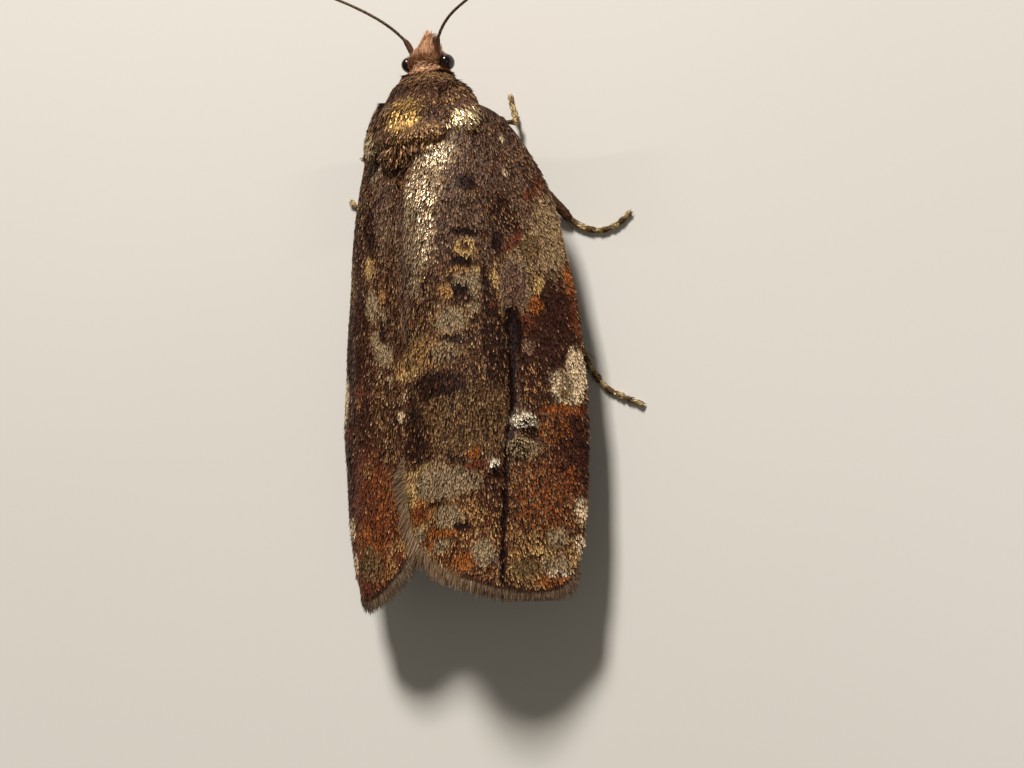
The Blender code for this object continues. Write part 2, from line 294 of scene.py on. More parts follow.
def tube(points, count, radius, sides=12):
    """Rings round a route; radius is a function of the distance along it."""
    centres, stations = route(points, count)
    ahead = unit(np.gradient(centres, axis=0))
    right, high = square_to(ahead)
    a = FULL_TURN * np.arange(sides) / sides
    r = radius(stations)[:, None, None]
    rings = centres[:, None] + r * (right[:, None] * np.cos(a)[:, None] + high[:, None] * np.sin(a)[:, None])
    return rings[:, ::-1]


def oval_rings(y, half_width, low, high, squareness, sides=36):
    """Rings across the body with rounded corners, from their low to their high point."""
    a = -FULL_TURN * np.arange(sides) / sides
    c = np.sign(np.cos(a)) * np.abs(np.cos(a)) ** (2 / squareness)
    s = np.sign(np.sin(a)) * np.abs(np.sin(a)) ** (2 / squareness)
    x = half_width[:, None] * c
    z = (low + high)[:, None] / 2 + (high - low)[:, None] / 2 * s
    return columns(x, y[:, None], z)


def ball_rings(centre, radii, turn=(0.0, 0.0, 0.0), rows=24, sides=32):
    """Rings of an egg shape about its turned upright axis."""
    polar = np.linspace(0.06, pi - 0.06, rows)[:, None]
    a = FULL_TURN * np.arange(sides) / sides
    local = columns(np.sin(polar) * np.cos(a), np.sin(polar) * np.sin(a), -np.cos(polar))
    return np.array(centre) + (local * np.array(radii)) @ turned(turn).T


def closed(rings):
    """Points and faces of a closed body through rings, with a point in the middle of each end."""
    count, sides = rings.shape[:2]
    ends = [rings[0].mean(0), rings[-1].mean(0)]
    points = np.concatenate([rings.reshape(-1, 3), ends])
    faces = []
    for i in range(count - 1):
        for k in range(sides):
            n = (k + 1) % sides
            faces.append((i * sides + k, i * sides + n, (i + 1) * sides + n, (i + 1) * sides + k))
    first, last = count * sides, count * sides + 1
    for k in range(sides):
        n = (k + 1) % sides
        faces.append((first, n, k))
        faces.append((last, (count - 1) * sides + k, (count - 1) * sides + n))
    return points, faces


def in_place(points):
    """From millimetres at the wing roots to the frame's metres."""
    return np.asarray(points) * MM + np.array(WING_ROOTS)


def joined(bodies):
    """One list of points and one of faces from several."""
    points = []
    faces = []
    start = 0
    for body_points, body_faces in bodies:
        points.append(body_points)
        faces += [tuple(start + v for v in face) for face in body_faces]
        start += len(body_points)
    return np.concatenate(points), faces


COAT = 0.08
SKIN_VOXEL = 0.036
HEAD_CENTRE = (0.0, -1.36, 2.12)
HEAD_RADII = (0.42, 0.32, 0.46)
NECK_WIDTH = ((-1.45, 0.3), (-0.6, 0.6))
NECK_LOW = ((-1.45, 1.85), (-0.6, 1.6))
NECK_HIGH = ((-1.45, 2.4), (-0.6, 2.85))
THORAX_WIDTH = ((-1.1, 0.56), (-0.8, 0.8), (-0.3, 1.1), (0.4, 1.28), (1.1, 1.08), (1.72, 0.8))
THORAX_LOW = ((-1.1, 1.75), (-0.8, 1.42), (-0.3, 1.12), (0.4, 1.0), (1.72, 0.95))
THORAX_HIGH = ((-1.1, 2.6), (-0.8, 2.88), (-0.3, 3.24), (0.2, 3.44), (0.6, 3.5), (0.95, 3.4), (1.3, 3.1),
               (1.72, 2.0))
ABDOMEN_START = 1.5
ABDOMEN_END = 9.1
ABDOMEN_SEGMENTS = 7
ABDOMEN_WIDTH = ((0.0, 0.66), (0.25, 0.88), (0.55, 0.84), (0.85, 0.55), (1.0, 0.26))
ABDOMEN_LOW = ((0.0, 0.5), (0.25, 0.22), (0.7, 0.2), (1.0, 0.5))
ABDOMEN_HIGH = ((0.0, 1.72), (0.2, 1.86), (0.6, 1.58), (1.0, 1.05))
TEGULA_CENTRES = {"right": (-1.12, 0.02, 2.78), "left": (1.17, 0.22, 2.6)}
TEGULA_RADII = (0.4, 0.7, 0.17)
TEGULA_TURNS = {"right": (6.0, -42.0, 16.0), "left": (6.0, 42.0, -16.0)}
SIDES = {"right": -1, "left": 1}
PALP = ((0.085, -1.45, 1.86), (0.075, -1.7, 1.87), (0.055, -1.9, 1.93), (0.035, -2.06, 1.98))
PALP_RADIUS = ((0.0, 0.09), (0.2, 0.095), (0.4, 0.068), (0.61, 0.022))
# Each leg: its route from hip to claws, and where its thigh, shin and foot end along it, in
# millimetres. The foot lies on the floor on its own radius.
FOOT = 0.075
LEGS = {
    ("fore", "right"): ((-0.42, -0.5, 1.35), (-0.98, -0.12, 0.92), (-1.34, -0.08, 0.4), (-1.25, -0.38, 0.13),
                        (-1.18, -0.58, FOOT), (-1.14, -0.8, FOOT)),
    ("mid", "right"): ((-0.5, 0.3, 1.2), (-1.15, 0.75, 0.95), (-1.85, 1.35, 0.85), (-2.35, 2.1, 0.34),
                       (-2.75, 2.6, 0.1), (-3.3, 2.8, FOOT), (-3.75, 2.72, FOOT), (-4.08, 2.5, FOOT)),
    ("hind", "right"): ((-0.5, 1.0, 1.2), (-1.15, 1.75, 0.85), (-1.8, 3.3, 0.78), (-2.4, 4.9, 0.42),
                        (-2.75, 5.75, 0.12), (-3.0, 6.25, FOOT), (-3.3, 6.6, FOOT), (-3.7, 6.84, FOOT),
                        (-4.12, 7.05, FOOT)),
    ("fore", "left"): ((0.42, -0.5, 1.35), (1.02, -0.1, 0.92), (1.45, -0.02, 0.4), (1.46, -0.32, 0.13),
                       (1.43, -0.56, FOOT), (1.4, -0.86, FOOT)),
    ("mid", "left"): ((0.5, 0.3, 1.2), (1.15, 0.75, 0.95), (1.75, 1.2, 0.85), (2.25, 1.62, 0.34),
                      (2.65, 1.7, 0.1), (3.0, 1.5, FOOT), (3.35, 1.15, FOOT)),
    ("hind", "left"): ((0.5, 1.0, 1.2), (1.15, 1.75, 0.85), (1.65, 3.3, 0.78), (2.05, 4.9, 0.42),
                       (2.25, 5.7, 0.12), (2.4, 6.25, FOOT), (2.5, 6.7, FOOT), (2.65, 7.15, FOOT)),
}
FOOT_LENGTHS = {"fore": 1.15, "mid": 1.7, "hind": 2.1}
FOOT_JOINTS = (0.0, 0.4, 0.6, 0.75, 0.87, 1.0)
SHIN_SHARE = 0.42
leg_lines = {name: route(points, 140) for name, points in LEGS.items()}


def leg_radius(kind, length):
    """Radius along a leg: stout thigh, shin that widens to its spurs, foot in five flared joints."""
    ankle = length - FOOT_LENGTHS[kind]
    knee = ankle * SHIN_SHARE

    def radius(s):
        upper = through(((0.0, 0.2), (knee * 0.5, 0.19), (knee, 0.11), (knee + 0.12, 0.1),
                         (ankle - 0.1, 0.105), (ankle, 0.075)), s)
        share = np.clip((s - ankle) / (length - ankle), 0.0, 1.0)
        joint = np.clip(np.searchsorted(FOOT_JOINTS, share, side="right") - 1, 0, 4)
        starts = np.array(FOOT_JOINTS)
        within = (share - starts[joint]) / (starts[joint + 1] - starts[joint])
        foot = 0.05 + 0.022 * ease(within * 1.2) - 0.012 * share
        return np.where(s > ankle, foot, upper)
    return radius


bodies = [closed(ball_rings(HEAD_CENTRE, HEAD_RADII))]
neck_y = np.linspace(-1.45, -0.6, 10)
bodies.append(closed(oval_rings(neck_y, through(NECK_WIDTH, neck_y), through(NECK_LOW, neck_y),
                                through(NECK_HIGH, neck_y), 2.0)))
chest_y = np.linspace(-1.06, 1.68, 40)
chest_high = through(THORAX_HIGH, chest_y) - COAT + 0.03 * np.cos(chest_y * 9.0) * ease((chest_y + 1.0) / 0.3)
bodies.append(closed(oval_rings(chest_y, through(THORAX_WIDTH, chest_y) - COAT,
                                through(THORAX_LOW, chest_y) + COAT, chest_high, 2.3)))
share = np.linspace(0.0, 1.0, 110)
segment = (share * ABDOMEN_SEGMENTS) % 1.0
pinch = 1.0 - 0.07 * (1 - ease(segment / 0.25)) - 0.02 * segment
low = through(ABDOMEN_LOW, share) + COAT
high = through(ABDOMEN_HIGH, share) - COAT
middle = (low + high) / 2
bodies.append(closed(oval_rings(ABDOMEN_START + (ABDOMEN_END - ABDOMEN_START) * share,
                                (through(ABDOMEN_WIDTH, share) - COAT) * pinch,
                                middle - (high - low) / 2 * pinch, middle + (high - low) / 2 * pinch, 2.1)))
for word, side in SIDES.items():
    bodies.append(closed(ball_rings(TEGULA_CENTRES[word], TEGULA_RADII, TEGULA_TURNS[word])))
    palp = [(side * x, y, z) for x, y, z in PALP]
    bodies.append(closed(tube(palp, 24, lambda s: through(PALP_RADIUS, s))))
for (kind, word), points in LEGS.items():
    length = leg_lines[kind, word][1][-1]
    bodies.append(closed(tube(points, 150, leg_radius(kind, length))))
body_points, body_faces = joined(bodies)
rough = bpy.data.meshes.new("body_in_parts")
rough.from_pydata(body_points.tolist(), [], body_faces)
workpiece = link("body_in_parts", rough)
remesh = workpiece.modifiers.new("one skin", 'REMESH')
remesh.mode = 'VOXEL'
remesh.voxel_size = SKIN_VOXEL
remesh.use_smooth_shade = True
smooth = workpiece.modifiers.new("soften", 'SMOOTH')
smooth.factor = 0.5
smooth.iterations = 2
skin_mesh = bpy.data.meshes.new_from_object(workpiece.evaluated_get(bpy.context.evaluated_depsgraph_get()))
bpy.data.objects.remove(workpiece)
skin_mesh.name = "body_skin"


def read(rows, key, width=3, kind=float):
    """Numbers from each row of a mesh's data, as an array."""
    values = np.empty(len(rows) * width, kind)
    rows.foreach_get(key, values)
    return values.reshape(-1, width)


def along_legs(points):
    """For each point: number of the nearest leg, distance along it, distance from its line, and
    the direction of the leg there."""
    best = np.full(len(points), 1e9)
    which = np.zeros(len(points), int)
    station = np.zeros(len(points))
    lie = np.zeros((len(points), 3))
    for number, (centres, stations) in enumerate(leg_lines.values()):
        ahead = unit(np.gradient(centres, axis=0))
        box_low, box_high = centres.min(0) - 0.3, centres.max(0) + 0.3
        near = np.where(((points > box_low) & (points < box_high)).all(1))[0]
        for block in np.array_split(near, max(1, len(near) // 4000)):
            if len(block) == 0:
                continue
            gaps = np.linalg.norm(points[block][:, None] - centres[None], axis=2)
            nearest = gaps.argmin(1)
            gap = gaps[np.arange(len(block)), nearest]
            closer = gap < best[block]
            chosen = block[closer]
            best[chosen] = gap[closer]
            which[chosen] = number
            station[chosen] = stations[nearest[closer]]
            lie[chosen] = ahead[nearest[closer]]
    return which, station, best, lie


def store(mesh, name, values):
    """Keep one vector for each point of a mesh, for its finish to read."""
    made = mesh.attributes.new(name, 'FLOAT_VECTOR', 'POINT')
    made.data.foreach_set("vector", np.ascontiguousarray(values, np.float32).ravel())


LEG_NAMES = list(LEGS)
LEG_ENDS = np.array([leg_lines[name][1][-1] for name in LEG_NAMES])
LEG_ANKLES = np.array([leg_lines[name][1][-1] - FOOT_LENGTHS[name[0]] for name in LEG_NAMES])


def limb_place(points):
    """For each point: 1 on a leg, how far down the leg it is before the foot, and along the foot."""
    which, station, gap, lie = along_legs(points)
    start = station > 0.55
    on_leg = (gap < 0.26) & start & ((points[:, 2] < 1.05) | (gap < 0.2))
    foot = np.clip((station - LEG_ANKLES[which]) / (LEG_ENDS[which] - LEG_ANKLES[which]), 0.0, 1.0)
    upper = np.clip(station / LEG_ANKLES[which], 0.0, 1.0)
    return on_leg, columns(on_leg, upper * on_leg, foot * on_leg), which, station, lie


skin_points = read(skin_mesh.vertices, "co")
skin_points[:, 2] = np.maximum(skin_points[:, 2], 0.0)
skin_normals = read(skin_mesh.vertex_normals, "vector")
store(skin_mesh, "place", skin_points)
store(skin_mesh, "limb", limb_place(skin_points)[1])
rng = np.random.default_rng(11)
store(skin_mesh, "vane", columns(0.0, 0.35, rng.random(len(skin_points))))

BROWN = paint(104, 76, 54)
PLUM = paint(64, 40, 31)
BRONZE = paint(156, 118, 80)
GOLD = paint(208, 164, 96)
PALE = paint(204, 182, 142)
STRAW = paint(202, 174, 124)
SAND = paint(208, 168, 132)


def ellipse(place, centre, halves, turn_z, ragged, edge=0.3):
    """1 inside an ellipsoid round a centre and 0 outside it, with a soft and ragged edge."""
    local = place.node("Mapping", {"vector_type": 'TEXTURE'},
                       {"Vector": place, "Location": centre, "Rotation": (0.0, 0.0, radians(turn_z)),
                        "Scale": tuple(2 * half for half in halves)})
    nearness = local.node("TexGradient", {"gradient_type": 'SPHERICAL'}, {"Vector": local}, "Fac")
    return (nearness - ragged * 0.5).rises(0.5 - edge / 2, 0.5 + edge / 2)


# Marks of the trunk: centre, half sizes and turn, colour, how strong it is on every scale and how
# much stronger on the lucky ones, and how metallic it is.
TRUNK_MARKS = (
    # Plum yoke, metallic scales with a painted gold highlight mid-thorax, bronze behind it and behind the
    # head.
    ((0.05, -0.48, 2.9), (1.0, 0.24, 0.9), 4.0, PLUM, 0.65, 0.0, 0.0),
    ((0.1, 0.1, 3.3), (0.42, 0.42, 0.8), -12.0, GOLD, 0.12, 0.78, 0.6),
    ((-0.15, 0.82, 3.3), (0.85, 0.36, 0.9), 14.0, BRONZE, 0.0, 0.85, 0.4),
    ((-0.2, -0.9, 2.7), (0.62, 0.26, 0.8), 8.0, BRONZE, 0.1, 0.35, 0.0),
    # Streak on the right flap over the wing root and hind end of the left flap: metallic, painted pale as
    # highlight.
    ((-1.25, 0.22, 3.0), (0.42, 0.2, 0.7), 34.0, PALE, 0.3, 0.7, 0.8),
    ((1.27, 0.52, 2.7), (0.22, 0.48, 0.6), 30.0, PALE, 0.3, 0.7, 0.8),
)


def body_colour(wire):
    """Colours of head, thorax, shoulders, abdomen and legs, and how metallic their scales are."""
    place, across, reach, seed = wire.scale_facts()
    limb = wire.named("limb")
    ragged = (seed.dice(5.3) - 0.5) * 0.5 + (place.cloud(0.25) - 0.5) * 0.9
    base = (place.cloud(0.3) + (seed - 0.5) * 0.8).rises(0.25, 0.75).blend(PLUM, BROWN)
    base = seed.dice(17.3).rises(0.84, 0.87).blend(base, BRONZE)
    tail = (place.part("Y") + ragged * 0.3).rises(1.3, 1.9)
    base = tail.blend(base, (seed + 0.2).rises(0.3, 0.8).blend(paint(96, 76, 56), paint(146, 122, 94)))
    lucky = seed.dice(3.7).rises(0.3, 0.5)
    glint = 0.0
    for centre, halves, turn_z, shade, steady, chancy, shine in TRUNK_MARKS:
        inside = ellipse(place, centre, halves, turn_z, ragged)
        base = (inside * (steady + chancy * lucky)).blend(base, shade)
        if shine:
            glint = inside * shine + glint
    # Tan head with a paler tuft in front.
    head = (place.part("Y") + ragged * 0.12).rises(-1.0, -1.12)
    crown = (place.cloud(0.16) + (seed - 0.5) * 0.8).rises(0.25, 0.8).blend(paint(184, 130, 98), SAND)
    crown = (place.part("Y") + ragged * 0.12).rises(-1.4, -1.6).blend(crown, paint(168, 122, 88))
    base = head.blend(base, crown)
    # Legs straw below and brown above; each joint of the foot is dark at its root, straw at its tip.
    foot = limb.part("Z")
    bands = (foot * 26.0 + ragged * 1.6 + 2.2).maths("SINE")
    shin = (limb.part("Y") * 9.0 + ragged * 3.0).rises(5.0, 7.5).blend(paint(122, 92, 58), paint(84, 58, 38))
    feet = (bands + (seed - 0.5) * 0.9).rises(-0.35, 0.35).blend(paint(112, 86, 52), STRAW)
    leg = foot.rises(0.0, 0.02).blend(shin, feet)
    base = limb.part("X").blend(base, leg)
    trunk = 1.0 - limb.part("X")
    metal = glint.maths("MINIMUM", 0.8) * lucky * (1.0 - head) * trunk
    # Each scale is painted darker at its root than at its tip, as painted shade where the scales overlap; the
    # seed gives each scale its own random lightness.
    painted_shade_and_tone = (0.38 + 0.9 * reach) * (0.45 + 1.1 * seed.dice(9.1))
    return base.times(painted_shade_and_tone), metal, seed, across


def apply_scales(start, looks, grooves, strength, rough, polish):
    """A finish of grooved scales, smoother where they are metallic."""
    colour, metal, seed, across = looks
    relief = (across * grooves).maths("SINE").relief(strength, 2e-6)
    apply_finish(start, Base_Color=colour, Metallic=metal, Specular_IOR_Level=0.14, Normal=relief,
                 Roughness=rough - metal * polish + (seed.dice(6.1) - 0.5) * 0.3)


def apply_skin(start, colour, cells, rough=0.5, strength=0.6):
    """A finish of bare skin with small pits."""
    pits = start.named("place").cells(cells)
    apply_finish(start, Base_Color=colour, Roughness=rough + pits * 0.2, Normal=pits.relief(strength, 1e-5))


coat_finish, wire = new_finish("body_coat")
apply_scales(wire, body_colour(wire), 11.0, 0.35, 0.5, 0.26)
skin_finish, wire = new_finish("body_skin")
apply_skin(wire, body_colour(wire)[0], 18.0, rough=0.55)


def fit(mesh, finish, slot, *nodes):
    """Make a mesh a piece of the moth: its finish and the solids that it stands for; slot is not used."""
    mesh.materials.append(finish)
    item = link(mesh.name, mesh)
    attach(item, "root")
    if nodes:
        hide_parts(*nodes)


skin_mesh.vertices.foreach_set("co", in_place(skin_points).ravel())
skin_mesh.materials.clear()
skin_mesh.update()
fit(skin_mesh, skin_finish, "body_scales", "head", "thorax", "abdomen", *["tegula_" + word for word in SIDES],
    *["palp_" + word for word in SIDES], *["leg_%s_%s" % name for name in LEGS])


# ---- Coat of the body ----
# Small flat scales rooted in the skin, pointing to the tail on the trunk, down each leg, and
# forwards in a tuft between the feelers. Those of the collar and shoulders stand up a little.
SCALE = ((0.0, 0.35), (0.35, 0.95), (0.8, 0.9), (1.0, 0.4))
HAIR = ((0.0, 0.7), (0.4, 1.0), (0.75, 0.8), (1.0, 0.15))
PATCH = 0.003
FLOOR_GAP = 0.003


def lay_flat(mesh, spots):
    """Unwrap a mesh for the bake of its finish, each point at its own spot of the map."""
    corners = read(mesh.loops, "vertex_index", 1, np.int32)
    layer = mesh.uv_layers.new(name="OFBake")
    layer.data.foreach_set("uv", spots.reshape(-1, 2)[corners].astype(np.float32).ravel())


def lay_vanes(name, root, normal, lie, length, width, lift, curl, roll, place, spread, rng, form=SCALE,
              limb=None):
    """A joined mesh of thin vanes: each from its root along lie, lifted off the surface by an
    angle, curled up towards its tip and rolled about its length. spread is each root's place on
    the unwrapped skin, from 0 to 1 both ways."""
    count = len(root)
    lie = unit(lie - normal * (lie * normal).sum(1, keepdims=True))
    side = np.cross(lie, normal)
    length, width, lift, curl, roll = (np.broadcast_to(value, count)[:, None]
                                       for value in (length, width, lift, curl, roll))
    face = normal * np.cos(roll) + side * np.sin(roll)
    side = side * np.cos(roll) - normal * np.sin(roll)
    s, w = np.array(form).T
    c = np.array([-1.0, 1.0])
    ahead = s * length * np.cos(lift)
    rise = s * length * np.sin(lift) + curl * length * s**2
    points = (root[:, None] + lie[:, None] * ahead[..., None] + face[:, None] * rise[..., None])
    reach_out = (w * width / 2)[..., None, None] * c[:, None]
    points = points[:, :, None] + side[:, None, None] * reach_out
    points[..., 2] = np.maximum(points[..., 2], FLOOR_GAP)
    rows = len(form)
    grid = np.arange(count * rows * 2).reshape(count, rows, 2)
    faces = columns(grid[:, :-1, 0], grid[:, :-1, 1], grid[:, 1:, 1], grid[:, 1:, 0]).reshape(-1, 4)
    mesh = bpy.data.meshes.new(name)
    mesh.vertices.add(points.size // 3)
    mesh.vertices.foreach_set("co", in_place(points).ravel())
    mesh.loops.add(faces.size)
    mesh.loops.foreach_set("vertex_index", faces.ravel())
    mesh.polygons.add(len(faces))
    mesh.polygons.foreach_set("loop_start", np.arange(len(faces)) * 4)
    mesh.update(calc_edges=True)
    mesh.shade_smooth()
    shape = (count, rows, 2)
    vane = columns(c, s[:, None], rng.random(count)[:, None, None])
    store(mesh, "vane", vane)
    store(mesh, "place", np.broadcast_to(place[:, None, None], (*shape, 3)))
    if limb is not None:
        store(mesh, "limb", np.broadcast_to(limb[:, None, None], (*shape, 3)))
    corner = columns(vane[..., 0] * 0.5, vane[..., 1] - 0.5) * PATCH
    lay_flat(mesh, np.clip(spread, 0.01, 0.99)[:, None, None] + corner)
    return mesh


def scatter(points, normals, triangles, per_square, rng):
    """Random roots on a mesh, with their normals; per_square gives roots per square millimetre
    for an array of places."""
    a, b, c = (points[triangles[:, k]] for k in range(3))
    area = np.linalg.norm(np.cross(b - a, c - a), axis=1) / 2
    expected = area * per_square((a + b + c) / 3)
    counts = rng.poisson(expected)
    chosen = np.repeat(np.arange(len(triangles)), counts)
    u, v = rng.random(len(chosen)), rng.random(len(chosen))
    over = u + v > 1
    u[over], v[over] = 1 - u[over], 1 - v[over]
    weights = columns(1 - u - v, u, v)[..., None]
    corners = triangles[chosen]
    return (points[corners] * weights).sum(1), unit((normals[corners] * weights).sum(1))


skin_mesh.calc_loop_triangles()
skin_triangles = read(skin_mesh.loop_triangles, "vertices", kind=np.int32)
HEAD_TIP = -2.3
TAIL_TIP = 9.4


def trunk_spread(points):
    """Place of trunk points on the skin cut open along the belly: round the body and along it."""
    round_body = np.arctan2(points[:, 0], points[:, 2] - 1.9) / FULL_TURN + 0.5
    return columns(round_body, (points[:, 1] - HEAD_TIP) / (TAIL_TIP - HEAD_TIP))


def region(points):
    """Names the part of the body that each skin point belongs to."""
    on_leg = limb_place(points)[0]
    named = np.full(len(points), "thorax", dtype="U8")
    named[points[:, 1] > 1.66] = "abdomen"
    named[points[:, 1] < -1.02] = "head"
    for word in SIDES:
        local = (points - np.array(TEGULA_CENTRES[word])) @ turned(TEGULA_TURNS[word])
        local = local / (np.array(TEGULA_RADII) + 0.05)
        named[(local**2).sum(1) < 1.0] = "tegula"
    named[(points[:, 1] < -1.68) & (points[:, 2] < 1.9)] = "palp"
    named[on_leg] = "leg"
    return named


def to_tail(root, chosen):
    """Back along the body, spreading from the midline."""
    return columns(root[:, 0] * 0.28, 1.0, -0.12)


def over_head(root, chosen):
    """Up and back on the neck, forwards on the crown in a tuft, down the face and cheeks."""
    x, y, z = root.T
    front = ease((-1.16 - y) / 0.2)
    crown = columns(-x * 2.0, -1.0, 0.35)
    face = columns(x * 0.4, -0.5, -0.7)
    nape = columns(x * 0.6, 0.9, 0.4)
    upper = ease((z - 2.0) / 0.25)[:, None]
    forward = crown * upper + face * (1 - upper)
    return nape * (1 - front)[:, None] + forward * front[:, None]


def down_palp(root, chosen):
    return np.broadcast_to((0.0, -1.0, 0.1), root.shape)


def down_leg(root, chosen):
    return leg_lie[chosen]


def leg_spread(root):
    """Each leg cut open along its underside, one strip beside another."""
    which, station, _, _ = along_legs(root)
    around = np.zeros(len(root))
    for number, (line, stations) in enumerate(leg_lines.values()):
        chosen = which == number
        middle = through(list(zip(stations, line)), station[chosen])
        ahead = through(list(zip(stations, unit(np.gradient(line, axis=0)))), station[chosen])
        right, high = square_to(ahead)
        local = root[chosen] - middle
        around[chosen] = np.arctan2((local * right).sum(1), (local * high).sum(1)) / FULL_TURN + 0.5
    return columns((which + 0.05 + 0.9 * around) / len(LEGS), station / LEG_ENDS[which])


# Coat of each part: roots on a square millimetre, the scales' length, width, lift and curl, the way
# that they lie and their form.
COATS = {
    "thorax": (1200.0, 0.16, 0.038, 0.13, 0.01, to_tail, SCALE),
    "tegula": (1250.0, 0.22, 0.038, 0.12, 0.01, to_tail, SCALE),
    "abdomen": (260.0, 0.19, 0.07, 0.12, 0.02, to_tail, SCALE),
    "head": (2000.0, 0.14, 0.027, 0.32, 0.06, over_head, HAIR),
    "palp": (2200.0, 0.075, 0.026, 0.14, 0.0, down_palp, SCALE),
    "leg": (950.0, 0.085, 0.03, 0.2, 0.0, down_leg, SCALE),
}
CHEST_TOP = 2.2
CHEST_SHARE = 0.45


def body_density(middles):
    """Roots on a square millimetre, fewer under the chest."""
    named = region(middles)
    density = np.zeros(len(middles))
    for name, coat in COATS.items():
        density[named == name] = coat[0]
    density[(named == "thorax") & (middles[:, 2] < CHEST_TOP)] *= CHEST_SHARE
    return density


rng = np.random.default_rng(21)
roots, normals = scatter(skin_points, skin_normals, skin_triangles, body_density, rng)
named = region(roots)
_, limbs, _, _, leg_lie = limb_place(roots)
for name, (_, length, width, lift, curl, lie, form) in COATS.items():
    chosen = named == name
    root = roots[chosen]
    count = len(root)
    bumpy = rng.normal(1.0, 0.16, count)
    direction = unit(lie(root, chosen)) + rng.normal(0.0, 0.16, (count, 3))
    spread = leg_spread(root) if name == "leg" else trunk_spread(root)
    coat = lay_vanes(name + "_scales", root, normals[chosen], direction, length * bumpy,
                     width * rng.normal(1.0, 0.14, count), lift + rng.normal(0.0, 0.07, count), curl,
                     rng.normal(0.0, 0.2, count), root, spread, rng, form, limbs[chosen])
    fit(coat, coat_finish, "leg_scales" if name == "leg" else "body_scales")


def tuft_roots(density, inside):
    """Roots of a tuft where inside is true of a place, their normals and their number."""
    root, normal = scatter(skin_points, skin_normals, skin_triangles,
                           lambda middles: density * inside(*middles.T), rng)
    return root, normal, len(root)


def add_tuft(name, root, normal, lie, length, width, lift, curl, roll, form, place):
    """A tuft on the body."""
    count = len(root)
    mesh = lay_vanes(name, root, normal, lie, length, width, lift, curl, rng.normal(0.0, roll, count), place,
                     trunk_spread(root), rng, form, np.zeros((count, 3)))
    fit(mesh, coat_finish, "body_scales")


# Longer hairs on the brow, drawn together to a point over the palps.
BROW_POINT = np.array((0.0, -2.13, 2.1))
root, normal, count = tuft_roots(1700.0, lambda x, y, z: (y < -1.42) & (z > 1.98) & (abs(x) < 0.27))
drawn = BROW_POINT - root
lie = unit(drawn)
upright = unit(normal - lie * (lie * normal).sum(1, keepdims=True))
add_tuft("brow_tuft", root, upright, lie + rng.normal(0.0, 0.07, (count, 3)),
         np.linalg.norm(drawn, axis=1) * rng.normal(0.78, 0.14, count), 0.027, 0.05, -0.05, 0.3, HAIR, root)

# Long scales at the hind end of the thorax, which fill the hollow before the wings. Those at the back take
# the dark yoke colour as painted shade of the gap before the wings.
PAINTED_SHADE_START = 1.14
YOKE = -0.48
root, normal, count = tuft_roots(900.0, lambda x, y, z: (abs(y - 1.25) < 0.4) & (z > 2.3) & (abs(x) < 0.95))
upright = np.broadcast_to((0.0, 0.0, 1.0), (count, 3))
place = np.where(root[:, 1:2] < PAINTED_SHADE_START, root, root * (1.0, 0.0, 1.0) + (0.0, YOKE, 0.0))
lie = columns(0.25 * root[:, 0], 1.0, 0.0)
lift = (3.3 - root[:, 2]) * 0.5 + rng.normal(0.0, 0.22, count)
add_tuft("hind_thorax_scales", root, upright, lie + rng.normal(0.0, 0.25, (count, 3)),
         0.21 * rng.normal(1.0, 0.2, count), 0.034, lift, -0.05, 0.3, SCALE, place)

# Hair scales round the end of the abdomen, pointing back.
root, normal, count = tuft_roots(500.0, lambda x, y, z: (y > 8.3) & (y < 9.3))
upright = np.broadcast_to((0.0, 0.0, 1.0), (count, 3))
lie = np.array([0.0, 1.0, -0.05]) + rng.normal(0.0, 0.12, (count, 3))
add_tuft("tail_tuft", root, upright, lie, 0.45 * rng.normal(1.0, 0.15, count), 0.03, 0.02, 0.0, 0.4, HAIR,
         root)


# ---- Claws and spurs ----
# Two hooked claws of dark horn on each toe. A pair of unequal spurs, thin and scaled, stands at the
# end of each middle shin, and two such pairs stand on each hind shin.
CLAW_LENGTH = 0.12
CLAW_GAP = 0.004
SPURS = {"fore": (), "mid": (0.97,), "hind": (0.7, 0.97)}
SPUR_LENGTHS = (0.42, 0.28)


def smooth_mesh(name, points, faces, place):
    """A smooth mesh in metres, which keeps each point's place in millimetres for its finish."""
    mesh = bpy.data.meshes.new(name)
    mesh.from_pydata(in_place(points).tolist(), [], faces)
    mesh.shade_smooth()
    store(mesh, "place", place)
    return mesh


claws = []
spurs = []
for (kind, word), (line, stations) in leg_lines.items():
    slope = unit(np.gradient(line, axis=0))
    ahead = slope[-1]
    side = square_to(ahead)[0]
    for turn in (-1, 1):
        hook = [line[-1] - ahead * 0.02, line[-1] + ahead * 0.06 + side * turn * 0.03 + (0.0, 0.0, 0.012),
                line[-1] + ahead * 0.09 + side * turn * 0.05 - (0.0, 0.0, 0.05)]
        claws.append(closed(tube(hook, 10, lambda s: 0.018 - 0.015 * s / CLAW_LENGTH * 0.8, 8)))
    ankle = stations[-1] - FOOT_LENGTHS[kind]
    for share in SPURS[kind]:
        at = np.searchsorted(stations, ankle * share)
        ahead = slope[at]
        side = square_to(ahead)[0]
        for turn, reach in zip((-1, 1), SPUR_LENGTHS):
            start = line[at] + side * turn * 0.05 - (0.0, 0.0, 0.03)
            thorn = [start, start + ahead * reach * 0.5 + side * turn * 0.07 * reach,
                     start + ahead * reach + side * turn * 0.3 * reach - (0.0, 0.0, 0.03)]
            spurs.append(closed(tube(thorn, 14, lambda s: 0.03 - 0.024 * s / reach, 8)))
claw_horn, wire = new_finish("claw_horn")
streak = wire.named("place").cloud(0.03, 3.0)
apply_finish(wire, Base_Color=streak.rises(0.3, 0.7).blend(paint(58, 36, 22), paint(96, 62, 36)),
             Roughness=0.3 + streak * 0.1, Normal=streak.relief(0.3, 2e-6))
spur_scales, wire = new_finish("spur_scales")
flakes = wire.named("place").cells(26.0, "Color").part(0)
